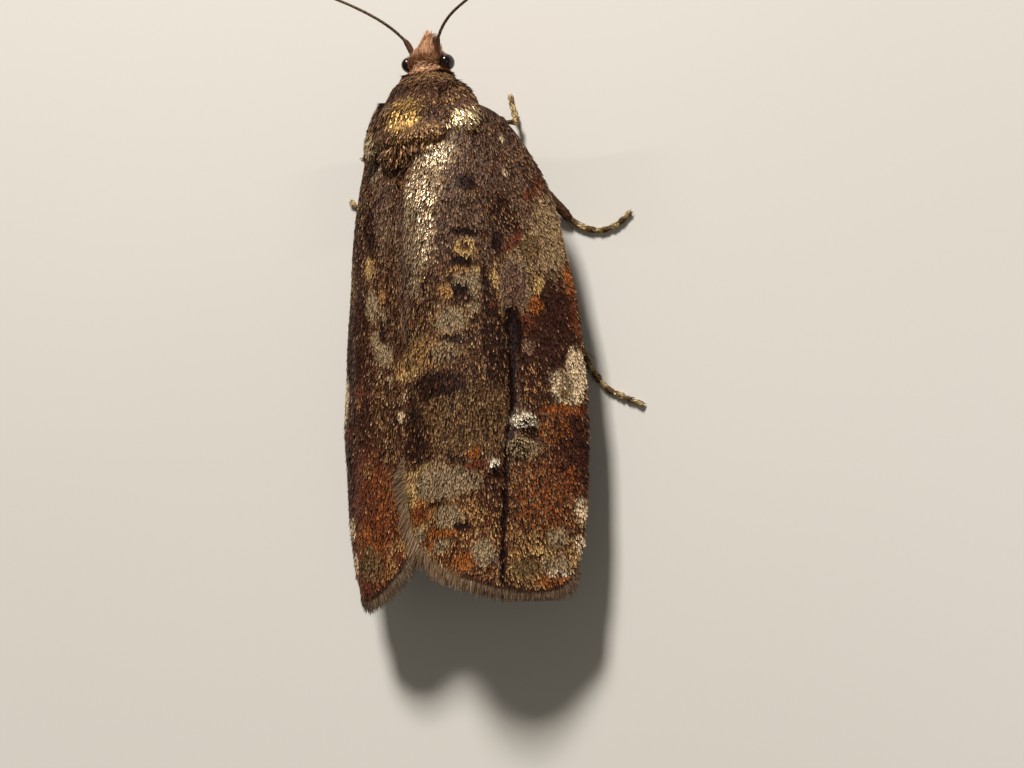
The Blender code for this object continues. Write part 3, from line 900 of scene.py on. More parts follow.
apply_finish(wire, Base_Color=flakes.rises(0.2, 0.8).blend(paint(112, 84, 52), STRAW),
             Roughness=0.45 + flakes * 0.15, Normal=flakes.relief(0.5, 4e-6))
for name, thorns, finish in (("foot_claws", claws, claw_horn), ("shin_spurs", spurs, spur_scales)):
    points, faces = joined(thorns)
    points[:, 2] = np.maximum(points[:, 2], CLAW_GAP)
    fit(smooth_mesh(name, points, faces, points), finish, "leg_scales")


# ---- Forewings: membranes ----
# Two thin plates of wing membrane folded like a roof, the right one lying over the left one past the ridge. A
# crease runs down the outer half with its shade painted dark, and faint veins fan out from the root.
RIDGE_HEIGHT = ((0.0, 3.25), (1.5, 3.42), (3.0, 3.4), (7.0, 3.1), (12.5, 2.45))
RIDGE_SLOPE = ((0.0, 20.0), (3.0, 13.0), (12.5, 8.0))
EDGE_SLOPE = ((0.0, 94.0), (3.0, 75.0), (7.0, 59.0), (12.5, 49.0))
RIDGE_ROUNDING = 0.8
ROOF_SPAN = 4.2
ROOF_STEPS = 16
MEMBRANE = 0.05
FORE_COSTA = ((0.0, 1.66), (0.1, 2.0), (0.22, 2.24), (0.4, 2.5), (0.7, 2.82), (1.2, 3.2), (1.8, 3.5),
              (3.0, 3.78), (5.0, 3.94), (8.0, 3.78), (10.5, 3.34), (12.2, 2.96))
FORE_DORSUM = {
    "right": ((0.0, 1.12), (0.6, 0.84), (0.9, 0.52), (1.2, 0.12), (1.5, -0.2), (2.2, -0.5), (3.0, -0.6),
              (6.0, -0.66), (8.0, -0.9), (9.0, -1.1), (12.2, -1.12)),
    "left": ((0.0, 1.15), (0.8, 0.82), (1.2, 0.5), (1.55, 0.04), (2.2, -0.44), (3.0, -0.6), (6.0, -0.66),
             (8.0, -0.9), (9.0, -1.1), (12.2, -1.12)),
}
# Outer margin: how far back it lies, from 0 at the inner margin to 1 at the costa.
FORE_MARGIN = {
    "right": ((0.0, 9.1), (0.03, 9.5), (0.083, 9.94), (0.136, 10.24), (0.26, 10.64), (0.44, 11.0),
              (0.6, 11.22), (0.77, 11.34), (0.9, 11.25), (0.965, 10.95), (1.0, 10.4)),
    "left": ((0.0, 8.8), (0.15, 9.3), (0.35, 9.8), (0.5, 10.2), (0.58, 10.55), (0.66, 10.82), (0.76, 11.06),
             (0.86, 11.16), (0.94, 11.05), (1.0, 10.6)),
}
FORE_DEPTH = {"right": (-0.19, -0.01), "left": (0.36, 0.04)}
INNER_DROOP = 0.31
EDGE_DROOP = 0.16
ROOT_DROOP = 0.26
FORE_VEINS = 17.0
VEIN_RELIEF = 0.009
WING_WAVES = 0.018
CREASE = ((4.5, 2.2), (5.0, 2.15), (7.0, 2.08), (8.0, 1.85), (9.0, 1.72), (10.0, 1.6), (11.4, 1.46))
CREASE_HALF = 0.12
CREASE_DEPTH = 0.075
TUFTS = ((7.42, 2.28, 0.2, 0.15), (7.9, 2.08, 0.2, 0.2), (8.42, 1.52, 0.1, 0.1))
TUFT_HEIGHT = 0.045


def roof(side, along, out, depth):
    """Points on the roof of the folded wings; out is the distance from the ridge over the
    surface, negative past the midline, and depth is how far under it they lie."""
    start = np.radians(through(RIDGE_SLOPE, along))
    growth = (np.radians(through(EDGE_SLOPE, along)) - start) / ROOF_SPAN
    reach = np.abs(out)
    x = 0.0
    z = through(RIDGE_HEIGHT, along)
    for i in range(ROOF_STEPS):
        u = reach * (i + 0.5) / ROOF_STEPS
        slope = (start + growth * u) * np.minimum(u / RIDGE_ROUNDING, 1.0)
        x = x + np.cos(slope) * reach / ROOF_STEPS
        z = z - np.sin(slope) * reach / ROOF_STEPS
    slope = (start + growth * reach) * np.minimum(reach / RIDGE_ROUNDING, 1.0)
    across = np.where(out >= 0, side, -side)
    return columns(across * (x - depth * np.sin(slope)), along, z - depth * np.cos(slope))


def near(along, out, spot, size=1.0):
    """1 in the middle of a spot on the wing, falling to 0 round it."""
    p, q, half_p, half_q = spot
    return np.exp(-(((along - p) / (half_p * size)) ** 2 + ((out - q) / (half_q * size)) ** 2))


def level(depths, out):
    """How far a wing lies under the roof, from its middle to its edge."""
    middle, edge = depths
    return middle + (edge - middle) * ease((np.abs(out) - 1.0) / 1.6)


def veins(along, out, count):
    """Waves across a fan of veins from the wing root."""
    return np.cos(FULL_TURN * ((out + 2.2) / (along + 9.0) * count))


def fore_depth(word, along, out):
    """How far the forewing's skin lies under the roof, with its veins, and the right one's crease
    and tufts."""
    depth = level(FORE_DEPTH[word], out) + VEIN_RELIEF * veins(along, out, FORE_VEINS) * ease(along / 3.0)
    depth = depth + WING_WAVES * np.sin(along * 1.9 + out * 1.1) * np.sin(out * 1.7 - along * 0.6)
    if word == "right":
        depth = depth + INNER_DROOP * ease((0.6 - out) / 1.2) + EDGE_DROOP * ease((-0.05 - out) / 0.5)
        depth = depth + ROOT_DROOP * ease((2.4 - along) / 1.2) * ease((1.5 - out) / 0.8)
        narrow = ease((along - 7.1) / 0.5)
        groove = np.exp(-((out - through(CREASE, along)) / (CREASE_HALF - 0.06 * narrow)) ** 2)
        depth = depth + groove * CREASE_DEPTH * (1 - 0.65 * narrow) * ease((along - 4.7) / 0.5)
        for spot in TUFTS:
            depth = depth - TUFT_HEIGHT * near(along, out, spot, 1.3)
    return depth


def fore_outline(word, s, t):
    """Along and out over a forewing, for shares s from root to margin and t from inner margin
    to costa."""
    along = through(FORE_MARGIN[word], t) * s
    inner, outer = through(FORE_DORSUM[word], along), through(FORE_COSTA, along)
    return along, inner + (outer - inner) * t


def on_wing(word, depth_of, along, out):
    """Points of a wing's skin, its normals, and the directions back along it and out to its costa."""
    side = SIDES[word]
    step = 0.03
    here = roof(side, along, out, depth_of(word, along, out))
    back = unit(roof(side, along + step, out, depth_of(word, along + step, out)) - here)
    outward = unit(roof(side, along, out + step, depth_of(word, along, out + step)) - here)
    return here, unit(side * np.cross(outward, back)), back, outward


def wing_spread(along, out):
    """Place on the flattened forewing, root at the bottom and costa at the right."""
    return columns((out + 1.35) / 5.6, (along + 0.2) / 12.4)


def make_membrane(name, word, outline, depth_of, rows, strips):
    """A wing's membrane, thinner at its edges, whose two sides lie side by side when flattened."""
    s = np.linspace(0.0, 1.0, rows + 1)[:, None]
    t = np.linspace(0.0, 1.0, strips + 1)[None]
    along, out = outline(word, s, t)
    depth = depth_of(word, along, out)
    side = SIDES[word]
    edge = np.minimum(1.0, (1 - s) * 12) * np.minimum(1.0, np.minimum(t, 1 - t) * 12)
    thin = MEMBRANE * (0.25 + 0.75 * edge)
    points = np.stack([roof(side, along, out, depth), roof(side, along, out, depth + thin)])
    number = np.arange(points.size // 3).reshape(2, rows + 1, strips + 1)
    quads = [columns(face[:-1, :-1], face[1:, :-1], face[1:, 1:], face[:-1, 1:]).reshape(-1, 4)
             for face in number]
    quads[1] = quads[1][:, ::-1]
    rim = np.concatenate([number[:, 0, :-1], number[:, :-1, -1], number[:, -1, :0:-1],
                          number[:, :0:-1, 0]], 1)
    after = np.roll(rim, -1, axis=1)
    quads.append(columns(rim[0], after[0], after[1], rim[1]))
    quads = np.concatenate(quads)
    if side > 0:
        quads = quads[:, ::-1]
    places = np.broadcast_to(columns(along, out, 0.0), points.shape)
    mesh = smooth_mesh(name, points.reshape(-1, 3), quads.tolist(), places)
    mesh.set_sharp_from_angle(angle=radians(60))
    grain = np.random.default_rng(31).random(number.shape)
    store(mesh, "vane", columns(0.0, 0.3, grain))
    flat = columns(0.02 + 0.46 * t, 0.02 + 0.96 * s)
    lay_flat(mesh, np.stack([flat, flat + np.array([0.5, 0.0])]))
    return mesh


INK = paint(48, 27, 19)
NIGHT = paint(38, 18, 11)
EARTH = paint(98, 64, 44)
UMBER = paint(140, 104, 72)
OLIVE = paint(120, 94, 62)
BEIGE = paint(168, 138, 102)
ASH = paint(152, 128, 98)
SMOKE = paint(118, 92, 76)
OCHRE = paint(172, 126, 76)
YELLOW = paint(194, 156, 100)
ORANGE = paint(158, 90, 42)
BRICK = paint(108, 58, 38)
MAROON = paint(64, 36, 27)
CREAM = paint(220, 192, 154)
SNOW = paint(214, 198, 172)

# Markings of a forewing: distance behind the root and out from the ridge, half length and half
# width, colour, the share of the scales inside that take it, and the turn in degrees if it has one.
RIGHT_MARKS = (
    # Ground: darker along the costa, olive in the middle field, rust and orange towards the tip.
    (1.4, 2.5, 1.5, 0.9, MAROON, 0.5, 20), (5.3, 3.15, 1.2, 0.7, MAROON, 0.85),
    (6.2, 2.75, 0.9, 0.6, MAROON, 0.75), (8.1, 3.4, 1.0, 0.5, MAROON, 0.85),
    (5.6, 1.75, 1.1, 0.25, INK, 0.6), (7.4, 1.0, 0.9, 1.1, OLIVE, 0.4), (7.7, -0.4, 0.9, 0.5, INK, 0.6),
    (6.55, 0.45, 0.3, 0.6, INK, 0.85), (3.6, -0.5, 1.8, 0.4, SMOKE, 0.5),
    (9.4, 1.45, 0.8, 0.3, MAROON, 0.7), (9.2, 2.6, 1.0, 0.9, BRICK, 0.45),
    (10.2, 0.7, 0.9, 1.3, BRICK, 0.55), (9.9, 0.6, 0.8, 1.6, OCHRE, 0.25),
    (10.6, 2.4, 0.7, 1.2, OCHRE, 0.35), (5.25, 2.3, 0.35, 0.3, INK, 0.8), (1.8, 1.7, 2.0, 1.4, SMOKE, 0.42),
    (2.1, 0.4, 1.0, 0.46, BEIGE, 0.42, -8), (3.1, 0.25, 0.8, 0.38, BEIGE, 0.4, -4),
    (1.2, 0.85, 0.5, 0.32, ASH, 0.6, -35), (9.3, 2.6, 0.9, 0.8, OCHRE, 0.22),
    (10.1, 0.6, 0.8, 1.4, YELLOW, 0.15), (10.6, 2.4, 0.7, 1.2, YELLOW, 0.18),
    # Basal field: dark spots, small white dots, rust at the costa.
    (1.9, 1.35, 0.18, 0.22, INK, 1), (3.08, 1.3, 0.1, 0.26, NIGHT, 1), (3.74, 1.15, 0.1, 0.3, NIGHT, 1),
    (3.3, 2.0, 0.35, 0.13, INK, 0.9), (4.35, 1.65, 0.45, 0.1, INK, 0.8), (2.6, 2.2, 0.5, 0.3, INK, 0.5, 30),
    (1.45, 1.7, 0.5, 0.14, SMOKE, 0.7), (0.8, 2.25, 0.1, 0.08, CREAM, 1),
    (1.6, 2.3, 0.08, 0.07, CREAM, 0.8), (1.95, 3.2, 0.24, 0.2, BRICK, 0.9),
    (2.15, 2.95, 0.14, 0.2, BRICK, 0.8),
    # Oblique band from the costa: beige, then olive grey, with a rust rim.
    (3.0, 3.35, 0.95, 0.5, BEIGE, 0.85), (3.35, 2.95, 0.75, 0.42, BEIGE, 0.6, -28),
    (3.28, 2.4, 0.34, 0.12, BRICK, 0.9, -42), (4.3, 2.35, 0.82, 0.46, OCHRE, 0.4, -4),
    (3.42, 2.8, 0.36, 0.26, OLIVE, 0.7, -28), (4.3, 2.33, 0.72, 0.36, ASH, 0.92, -4),
    (4.35, 2.32, 0.64, 0.33, SMOKE, 0.95, -4), (4.4, 2.32, 0.5, 0.26, EARTH, 0.3, -4),
    (4.2, 1.86, 0.22, 0.1, YELLOW, 0.8), (4.28, 2.92, 0.26, 0.12, YELLOW, 0.85, -24),
    (4.78, 2.8, 0.22, 0.18, ORANGE, 0.6), (4.76, 1.77, 0.08, 0.09, BRICK, 1),
    (4.15, 3.74, 0.4, 0.14, ORANGE, 0.8, 2), (4.9, 3.78, 0.6, 0.1, BRICK, 0.7, 2),
    # Ring spot, and the grey blots behind it with ochre rims.
    (3.44, 1.27, 0.24, 0.24, YELLOW, 0.85), (3.42, 1.24, 0.1, 0.1, EARTH, 0.95),
    (4.25, 1.25, 0.42, 0.4, INK, 0.6), (3.98, 1.12, 0.1, 0.2, OCHRE, 0.9),
    (4.0, 1.43, 0.12, 0.13, YELLOW, 0.8), (4.2, 1.12, 0.17, 0.17, ASH, 0.95),
    (4.28, 1.4, 0.33, 0.17, ASH, 0.95), (4.4, 1.1, 0.1, 0.15, NIGHT, 1),
    (4.46, 0.78, 0.2, 0.14, OCHRE, 0.8, 20), (4.84, 1.36, 0.14, 0.13, ASH, 0.95),
    (5.12, 0.85, 0.34, 0.4, OCHRE, 0.6), (5.12, 0.86, 0.29, 0.34, ASH, 0.95),
    # Ochre and grey bar across the inner half, with yellow scales at its inner end.
    (5.82, 0.1, 0.42, 0.95, OLIVE, 0.6, 4), (5.82, 0.1, 0.38, 0.9, OCHRE, 0.35, 4),
    (5.52, 0.85, 0.1, 0.24, INK, 0.9), (5.83, 0.68, 0.22, 0.3, ASH, 0.5),
    (6.16, -0.45, 0.13, 0.45, YELLOW, 0.65), (6.66, -0.7, 0.13, 0.15, CREAM, 0.45),
    (7.12, -0.7, 0.1, 0.12, CREAM, 0.35),
    # Outer side of the crease: dull red, grey and orange scales.
    (5.2, 2.55, 0.28, 0.26, BRICK, 0.5), (5.72, 2.56, 0.16, 0.15, SMOKE, 0.8),
    (6.6, 2.6, 0.5, 0.3, OCHRE, 0.16),
    # Cream patch at the costa, with an olive middle and a rust lower edge.
    (6.3, 3.68, 0.52, 0.26, CREAM, 0.92), (6.68, 3.4, 0.4, 0.42, CREAM, 0.9),
    (6.6, 3.36, 0.36, 0.18, ASH, 0.85), (6.85, 3.28, 0.13, 0.12, OLIVE, 0.8),
    (7.2, 3.3, 0.13, 0.6, BRICK, 0.9), (7.18, 3.15, 0.12, 0.45, ORANGE, 0.6),
    (7.65, 3.0, 0.36, 0.36, ORANGE, 0.35), (8.7, 3.0, 0.5, 0.4, ORANGE, 0.2),
    (9.35, 2.5, 0.6, 0.7, ORANGE, 0.25),
    # Large pale blots near the tornus on an ochre ground.
    (8.8, -0.2, 0.52, 0.85, YELLOW, 0.78), (8.76, 0.15, 0.42, 0.72, ASH, 0.95),
    (8.76, 0.98, 0.24, 0.28, ASH, 0.7), (8.85, 0.3, 0.2, 0.4, SMOKE, 0.3, 20),
    (9.22, 0.2, 0.08, 0.36, INK, 0.95), (9.35, -0.4, 0.32, 0.44, ORANGE, 0.6),
    (9.33, -0.46, 0.16, 0.22, BRICK, 1), (9.55, 0.42, 0.34, 0.38, OCHRE, 0.6),
    (9.55, 0.42, 0.28, 0.32, ASH, 0.95), (9.5, 1.0, 0.42, 0.1, OCHRE, 0.6),
    (9.78, 0.72, 0.08, 0.2, INK, 0.8), (9.66, -0.4, 0.12, 0.22, YELLOW, 0.85),
    (9.82, -0.62, 0.16, 0.2, ASH, 0.9), (9.87, 0.15, 0.1, 0.42, ORANGE, 0.85),
    (10.16, 0.15, 0.16, 0.28, ASH, 0.92), (10.1, -0.14, 0.12, 0.14, ORANGE, 0.85),
    (10.58, 0.7, 0.2, 0.24, ORANGE, 0.85), (10.38, 1.13, 0.28, 0.28, ASH, 0.92),
    (10.55, 1.4, 0.2, 0.14, SMOKE, 0.7), (8.15, 1.1, 0.14, 0.18, ORANGE, 0.6),
    (8.42, 1.15, 0.1, 0.28, BRICK, 0.9),
    # Tip: grey blots, yellow and cream flecks on orange; the cream fleck at 10.92, 2.75 is a painted glint.
    (10.1, 2.78, 0.2, 0.26, ASH, 0.92), (10.75, 2.72, 0.26, 0.34, ASH, 0.88),
    (10.42, 2.4, 0.1, 0.32, YELLOW, 0.7), (10.78, 2.0, 0.2, 0.34, OLIVE, 0.9),
    (9.5, 3.42, 0.3, 0.16, CREAM, 0.75), (10.42, 3.15, 0.3, 0.2, YELLOW, 0.5),
    (10.3, 3.3, 0.26, 0.12, CREAM, 0.6), (10.92, 2.75, 0.07, 0.3, CREAM, 0.5),
    (11.1, 2.7, 0.12, 0.5, ORANGE, 0.6),
    # Crease from the middle to the margin, painted dark as the shade in its groove, and the pale tufts on
    # both sides of it.
    (5.3, 2.22, 0.5, 0.2, NIGHT, 0.97), (6.5, 2.1, 1.3, 0.1, NIGHT, 1, -3),
    (8.0, 1.87, 0.9, 0.08, NIGHT, 0.9, -10), (9.3, 1.68, 1.1, 0.08, NIGHT, 0.85, -8),
    (10.6, 1.52, 1.0, 0.08, NIGHT, 0.8, -6), (7.45, 2.27, 0.17, 0.28, SNOW, 0.92),
    # The snow fleck at 10.92, 2.75 is a painted glint near the tip.
    (8.06, 2.22, 0.22, 0.38, ASH, 0.85), (10.92, 2.75, 0.07, 0.28, SNOW, 0.4),
    (8.42, 1.52, 0.09, 0.08, SNOW, 1),
)
# The left wing shows only its outer half, which is plainer, with a row of small pale spots.
LEFT_MARKS = (
    (6.8, 2.6, 4.4, 0.7, MAROON, 0.7), (9.4, 2.4, 1.8, 0.9, BRICK, 0.75),
    (9.6, 2.0, 1.4, 0.9, ORANGE, 0.28), (2.2, 1.3, 1.0, 0.36, SMOKE, 0.6),
    (2.6, 1.82, 0.5, 0.22, INK, 0.85), (3.1, 3.4, 0.9, 0.45, BEIGE, 0.7),
    (3.7, 2.8, 0.6, 0.4, OLIVE, 0.6, -28), (5.2, 3.3, 1.0, 0.5, MAROON, 0.8),
    (6.3, 3.6, 0.6, 0.34, CREAM, 0.85, 10), (7.2, 3.4, 0.2, 0.4, BRICK, 0.8),
    (8.1, 3.4, 0.9, 0.5, MAROON, 0.8), (3.46, 1.86, 0.27, 0.15, YELLOW, 0.9),
    (4.15, 1.46, 0.2, 0.13, OCHRE, 0.85), (4.35, 1.78, 0.36, 0.2, ASH, 0.95, -5),
    (4.65, 1.45, 0.15, 0.15, ASH, 0.85), (5.2, 1.72, 0.25, 0.16, ASH, 0.9), (5.0, 1.5, 0.3, 0.08, INK, 0.8),
    (5.56, 1.45, 0.25, 0.24, ASH, 0.95), (5.95, 0.95, 0.24, 0.22, OCHRE, 0.6),
    (6.12, 0.85, 0.14, 0.2, YELLOW, 0.8), (6.15, 1.3, 0.1, 0.1, ASH, 0.9),
    (7.05, 1.0, 0.15, 0.12, CREAM, 0.8), (6.4, 2.45, 0.32, 0.25, BRICK, 0.5),
    (8.2, 2.3, 0.28, 0.22, OCHRE, 0.45), (8.9, 2.5, 0.7, 0.5, BRICK, 0.6),
    (9.7, 2.6, 0.42, 0.34, ORANGE, 0.55), (9.4, 3.3, 0.26, 0.2, CREAM, 0.7),
    (10.4, 2.4, 0.5, 0.45, OLIVE, 0.6), (10.35, 1.45, 0.5, 0.4, OCHRE, 0.6),
    (10.3, 1.5, 0.2, 0.16, BRICK, 0.8), (10.85, 2.7, 0.2, 0.5, BRICK, 0.6),
    (10.2, 3.2, 0.24, 0.16, CREAM, 0.7),
)
# Spots of metallic scales by the inner margin and at the root, painted pale as a highlight: along, out, half
# length, half width and turn.
RIGHT_METAL_AND_PAINTED_GLINT = ((1.25, 0.72, 0.45, 0.3, -30), (2.0, 0.36, 0.8, 0.4, -8), (3.0, 0.26, 0.8, 0.38, -4),
                 (3.7, 0.12, 0.7, 0.2, 0), (0.27, 1.33, 0.4, 0.14, -58))
LEFT_METAL_AND_PAINTED_GLINT = ((0.9, 1.55, 0.5, 0.2, 20),)


def wing_colour(wire, marks, metal_and_painted_glint):
    """Colours of a forewing's scales or skin, how metallic they are, their seed and the way across."""
    place, across, reach, seed = wire.scale_facts()
    dice = seed.dice(7.7)
    ragged = (seed.dice(5.3) - 0.5) * 0.3 + (place.cloud(0.16, 3.0) - 0.5) * 0.9
    colour = (place.cloud(0.45, 3.0) + (seed - 0.5) * 0.9).rises(0.25, 0.75).blend(INK, EARTH)
    colour = seed.dice(17.3).rises(0.78, 0.82).blend(colour, UMBER)
    # A few scales all over are painted beige as painted glints on their tips.
    colour = seed.dice(29.1).rises(0.93, 0.94).blend(colour, BEIGE)
    for p, q, half_p, half_q, shade, fill, *turn in marks:
        inside = ellipse(place, (p, q, 0.0), (half_p, half_q, 1.0), sum(turn), ragged, 0.16)
        if fill < 1:
            inside = inside * (fill - dice).rises(-0.03, 0.03)
        colour = inside.blend(colour, shade)
    shine = 0.0
    for p, q, half_p, half_q, turn in metal_and_painted_glint:
        spot = ellipse(place, (p, q, 0.0), (half_p, half_q, 1.0), turn, ragged * 0.8, 0.4)
        shine = spot.maths("MAXIMUM", shine)
    shine = shine * seed.dice(3.7).rises(0.3, 0.7)
    # Painted highlight: a pale colour on the metallic scales of those spots.
    colour = (shine * 0.85).blend(colour, paint(222, 196, 162))
    # Each scale is painted darkest at its root and brightest at its tip: painted shade where the scales
    # overlap and a painted highlight on their tips. The seed gives each scale its own random lightness.
    painted_shade_and_tone = (0.42 + 0.2 * reach + 0.72 * reach.rises(0.6, 0.95)) * (0.42 + 1.16 * seed.dice(9.1))
    return colour.times(painted_shade_and_tone), shine * 0.8, seed, across


WING_LOOKS = {"right": (RIGHT_MARKS, RIGHT_METAL_AND_PAINTED_GLINT), "left": (LEFT_MARKS, LEFT_METAL_AND_PAINTED_GLINT)}
for word in SIDES:
    fore_finish, wire = new_finish("forewing_%s_membrane" % word)
    apply_skin(wire, wing_colour(wire, *WING_LOOKS[word])[0], 14.0)
    membrane = make_membrane("forewing_%s_membrane" % word, word, fore_outline, fore_depth, 150, 64)
    fit(membrane, fore_finish, "wing_scales", "forewing_" + word)


# ---- Forewings: scales ----
# Rows of overlapping scales, each a flat blade on a stalk, pointing from the root to the outer margin. Three
# tufts beside the crease stand up, and metallic scales by the inner margin carry a pale painted highlight.
ROW_PITCH = 0.052
SCALE_PITCH = 0.025
SCALE_LENGTH = 0.165
SCALE_WIDTH = 0.032
ZONE_END = 5.6
BARE_EDGE = 0.17


def wing_rows(word, row_pitch, scale_pitch, inner_limit, rng):
    """Places of scale roots on a forewing, in staggered rows with a little disorder."""
    along, out = np.meshgrid(np.arange(0.02, 11.6, row_pitch), np.arange(-0.9, 4.0, scale_pitch),
                             indexing="ij")
    out = out + (np.arange(along.shape[0]) % 2)[:, None] * scale_pitch / 2
    along = (along + rng.normal(0.0, 0.42 * row_pitch, along.shape)).ravel()
    out = (out + rng.normal(0.0, 0.3 * scale_pitch, out.shape)).ravel()
    inner, outer = through(FORE_DORSUM[word], along), through(FORE_COSTA, along)
    across = (out - inner) / (outer - inner)
    kept = (across > 0) & (across < 1) & (along > 0) & (out > inner_limit)
    kept &= along < through(FORE_MARGIN[word], np.clip(across, 0, 1)) - BARE_EDGE
    return along[kept], out[kept]


for word in SIDES:
    scale_finish, wire = new_finish("forewing_%s_scales" % word)
    apply_scales(wire, wing_colour(wire, *WING_LOOKS[word]), 9.0, 0.3, 0.46, 0.24)
    rng = np.random.default_rng(41 + SIDES[word])
    along, out = wing_rows(word, ROW_PITCH, SCALE_PITCH, -2.0 if word == "right" else 0.2, rng)
    count = len(along)
    root, normal, back, outward = on_wing(word, fore_depth, along, out)
    fan = (out - 1.4) / (along + 3.0)
    lie = back + outward * (fan + rng.normal(0.0, 0.13, count))[:, None]
    raised = np.zeros(count)
    for spot in TUFTS if word == "right" else ():
        raised = np.maximum(raised, near(along, out, spot))
    lift = 0.11 + 0.75 * raised + np.abs(rng.normal(0.0, 0.06, count))
    halves = along < ZONE_END
    for zone, chosen in (("base", halves), ("tip", ~halves)):
        n = chosen.sum()
        coat = lay_vanes("forewing_%s_%s_scales" % (word, zone), root[chosen], normal[chosen], lie[chosen],
                         SCALE_LENGTH * rng.normal(1.0, 0.12, n), SCALE_WIDTH * rng.normal(1.0, 0.13, n),
                         lift[chosen], 0.03, rng.normal(0.0, 0.22, n),
                         columns(along + SCALE_LENGTH / 2, out, 0.0)[chosen],
                         wing_spread(along, out)[chosen], rng)
        fit(coat, scale_finish, "wing_scales")


# ---- Forewings: fringes ----
# Long narrow hair scales along the outer margin, in three layers, longest round the inner corner,
# where they lie over the left wing. A dark line of short scales marks their roots.
fringe_finish, wire = new_finish("fringe_hair")
place, _, reach, seed = wire.scale_facts()
hair = seed.dice(5.1).rises(0.2, 0.8).blend(paint(116, 91, 71), paint(164, 135, 108))
hair = (reach.rises(0.5, 0.58) * reach.rises(0.74, 0.66) * 0.4).blend(hair, paint(100, 78, 60))
hair = reach.rises(0.3, 0.2).blend(hair, paint(70, 46, 34))
short = seed.rises(0.6, 0.8).blend(paint(62, 37, 26), paint(120, 74, 40))
short = place.part("Y").rises(0.8, 0.1).blend(short, paint(138, 112, 84))
hair = place.part("Z").rises(0.6, 0.4).blend(hair, short)
# The hairs are painted darker from the inner corner out towards the costa, as painted shade; the seed gives
# each hair its own random lightness.
hair = hair.times((1.14 - place.part("Y").rises(0.1, 1.3) * 0.6) * (0.65 + 0.7 * seed.dice(9.1)))
apply_finish(wire, Base_Color=hair, Roughness=0.6, Specular_IOR_Level=0.25)


def margin_line(word, count, inner_start):
    """Roots along a forewing's edge: up the inner margin, round the corner and out to the costa;
    with the direction across the edge."""
    s = np.linspace(inner_start, 1.0, 120)
    t = np.linspace(0.0, 1.0, 240)[1:]
    line = np.concatenate([columns(*fore_outline(word, s, 0.0)), columns(*fore_outline(word, 1.0, t))])
    marks = distances(line)
    stations = np.linspace(0.0, marks[-1], count)
    at = columns(*(np.interp(stations, marks, part) for part in line.T))
    run = unit(np.gradient(at, axis=0))
    kernel = np.ones(9) / 9
    run = columns(*(np.convolve(np.pad(part, 4, mode="edge"), kernel, mode="valid") for part in run.T))
    return at, unit(columns(run[:, 1], -run[:, 0])), stations / marks[-1]


# Short dark scales over the roots of the fringe, then three layers of hairs: how far inside the
# margin they are rooted, their length and their lift.
FRINGE_LAYERS = ((0.1, 0.17, 0.12), (0.02, 0.2, 0.05), (0.04, 0.31, 0.02), (0.06, 0.4, -0.03))
FRINGE_END = 11.57
FRINGE_START = {"right": 0.87, "left": 0.93}
FRINGE_HAIRS = 1500
FRINGE_WIDTH = 0.022
for word in SIDES:
    rng = np.random.default_rng(51 + SIDES[word])
    parts = []
    for layer, (inset, hair_length, lift) in enumerate(FRINGE_LAYERS):
        at, across, share = margin_line(word, FRINGE_HAIRS, FRINGE_START[word])
        across = unit(across * np.array([1.0, 0.8]) + np.array([0.5, 0.0]))
        at = at - across * (inset + 0.02)
        root, normal, back, outward = on_wing(word, fore_depth, at[:, 0], at[:, 1])
        lie = back * across[:, :1] + outward * across[:, 1:] + rng.normal(0.0, 0.09, root.shape)
        corner = 1.0 + (layer > 0) * 0.85 * np.exp(-((share - 0.18) / 0.2) ** 2)
        grown = hair_length * corner * ease(share / 0.08 + 0.2) * rng.normal(1.0, 0.12, len(share))
        grown = grown * (0.25 + 0.75 * ease((0.97 - share) / 0.09))
        grown = np.minimum(grown, (FRINGE_END - at[:, 0]) / np.maximum(across[:, 0], 0.1))
        place = columns(*at.T, float(layer))
        parts.append((root, normal, lie, grown, lift + rng.normal(0, 0.05, len(share)), at, place))
    root, normal, lie, grown, lift, at, place = (np.concatenate(column) for column in zip(*parts))
    fringe = lay_vanes("forewing_%s_fringe" % word, root, normal, lie, grown, FRINGE_WIDTH, lift, -0.04,
                       rng.normal(0.0, 0.5, len(root)), place, wing_spread(*at.T), rng, HAIR)
    fit(fringe, fringe_finish, "wing_scales")


# ---- Hindwings ----
# Grey-brown and thinly scaled, folded away under the forewings, with a pale fringe at the back.
# The same dull scales line the forewings' undersides.
HIND_COSTA = ((1.2, 1.5), (2.4, 2.4), (4.5, 2.85), (8.0, 2.8), (10.3, 2.26))
HIND_DORSUM = ((1.2, 1.0), (2.4, 0.38), (3.5, 0.08), (10.3, 0.08))
HIND_MARGIN = ((0.0, 9.1), (0.1, 9.6), (0.25, 9.92), (0.5, 10.0), (0.75, 9.9), (0.9, 9.45), (1.0, 8.7))
HIND_DEPTH = (1.0, 0.6)
HIND_VEINS = 13.0
HIND_RELIEF = 0.015
HIND_ROOT = 1.2
HIND_SCALES = 9000
HIND_SCALE_LENGTH = 0.2
HIND_SCALE_WIDTH = 0.07
UNDER_ROW_PITCH = 0.16
UNDER_SCALE_PITCH = 0.055
UNDER_SCALE_LENGTH = 0.24
UNDER_SCALE_WIDTH = 0.08
HIND_HAIRS = 900
HIND_HAIR_LENGTH = 0.42
HIND_HAIR_WIDTH = 0.03


def hind_depth(word, along, out):
    return level(HIND_DEPTH, out) + HIND_RELIEF * veins(along, out, HIND_VEINS)


def under_forewing(word, along, out):
    return fore_depth(word, along, out) + MEMBRANE


def hind_outline(word, s, t):
    along = HIND_ROOT + (through(HIND_MARGIN, t) - HIND_ROOT) * s
    inner, outer = through(HIND_DORSUM, along), through(HIND_COSTA, along)
    return along, inner + (outer - inner) * t


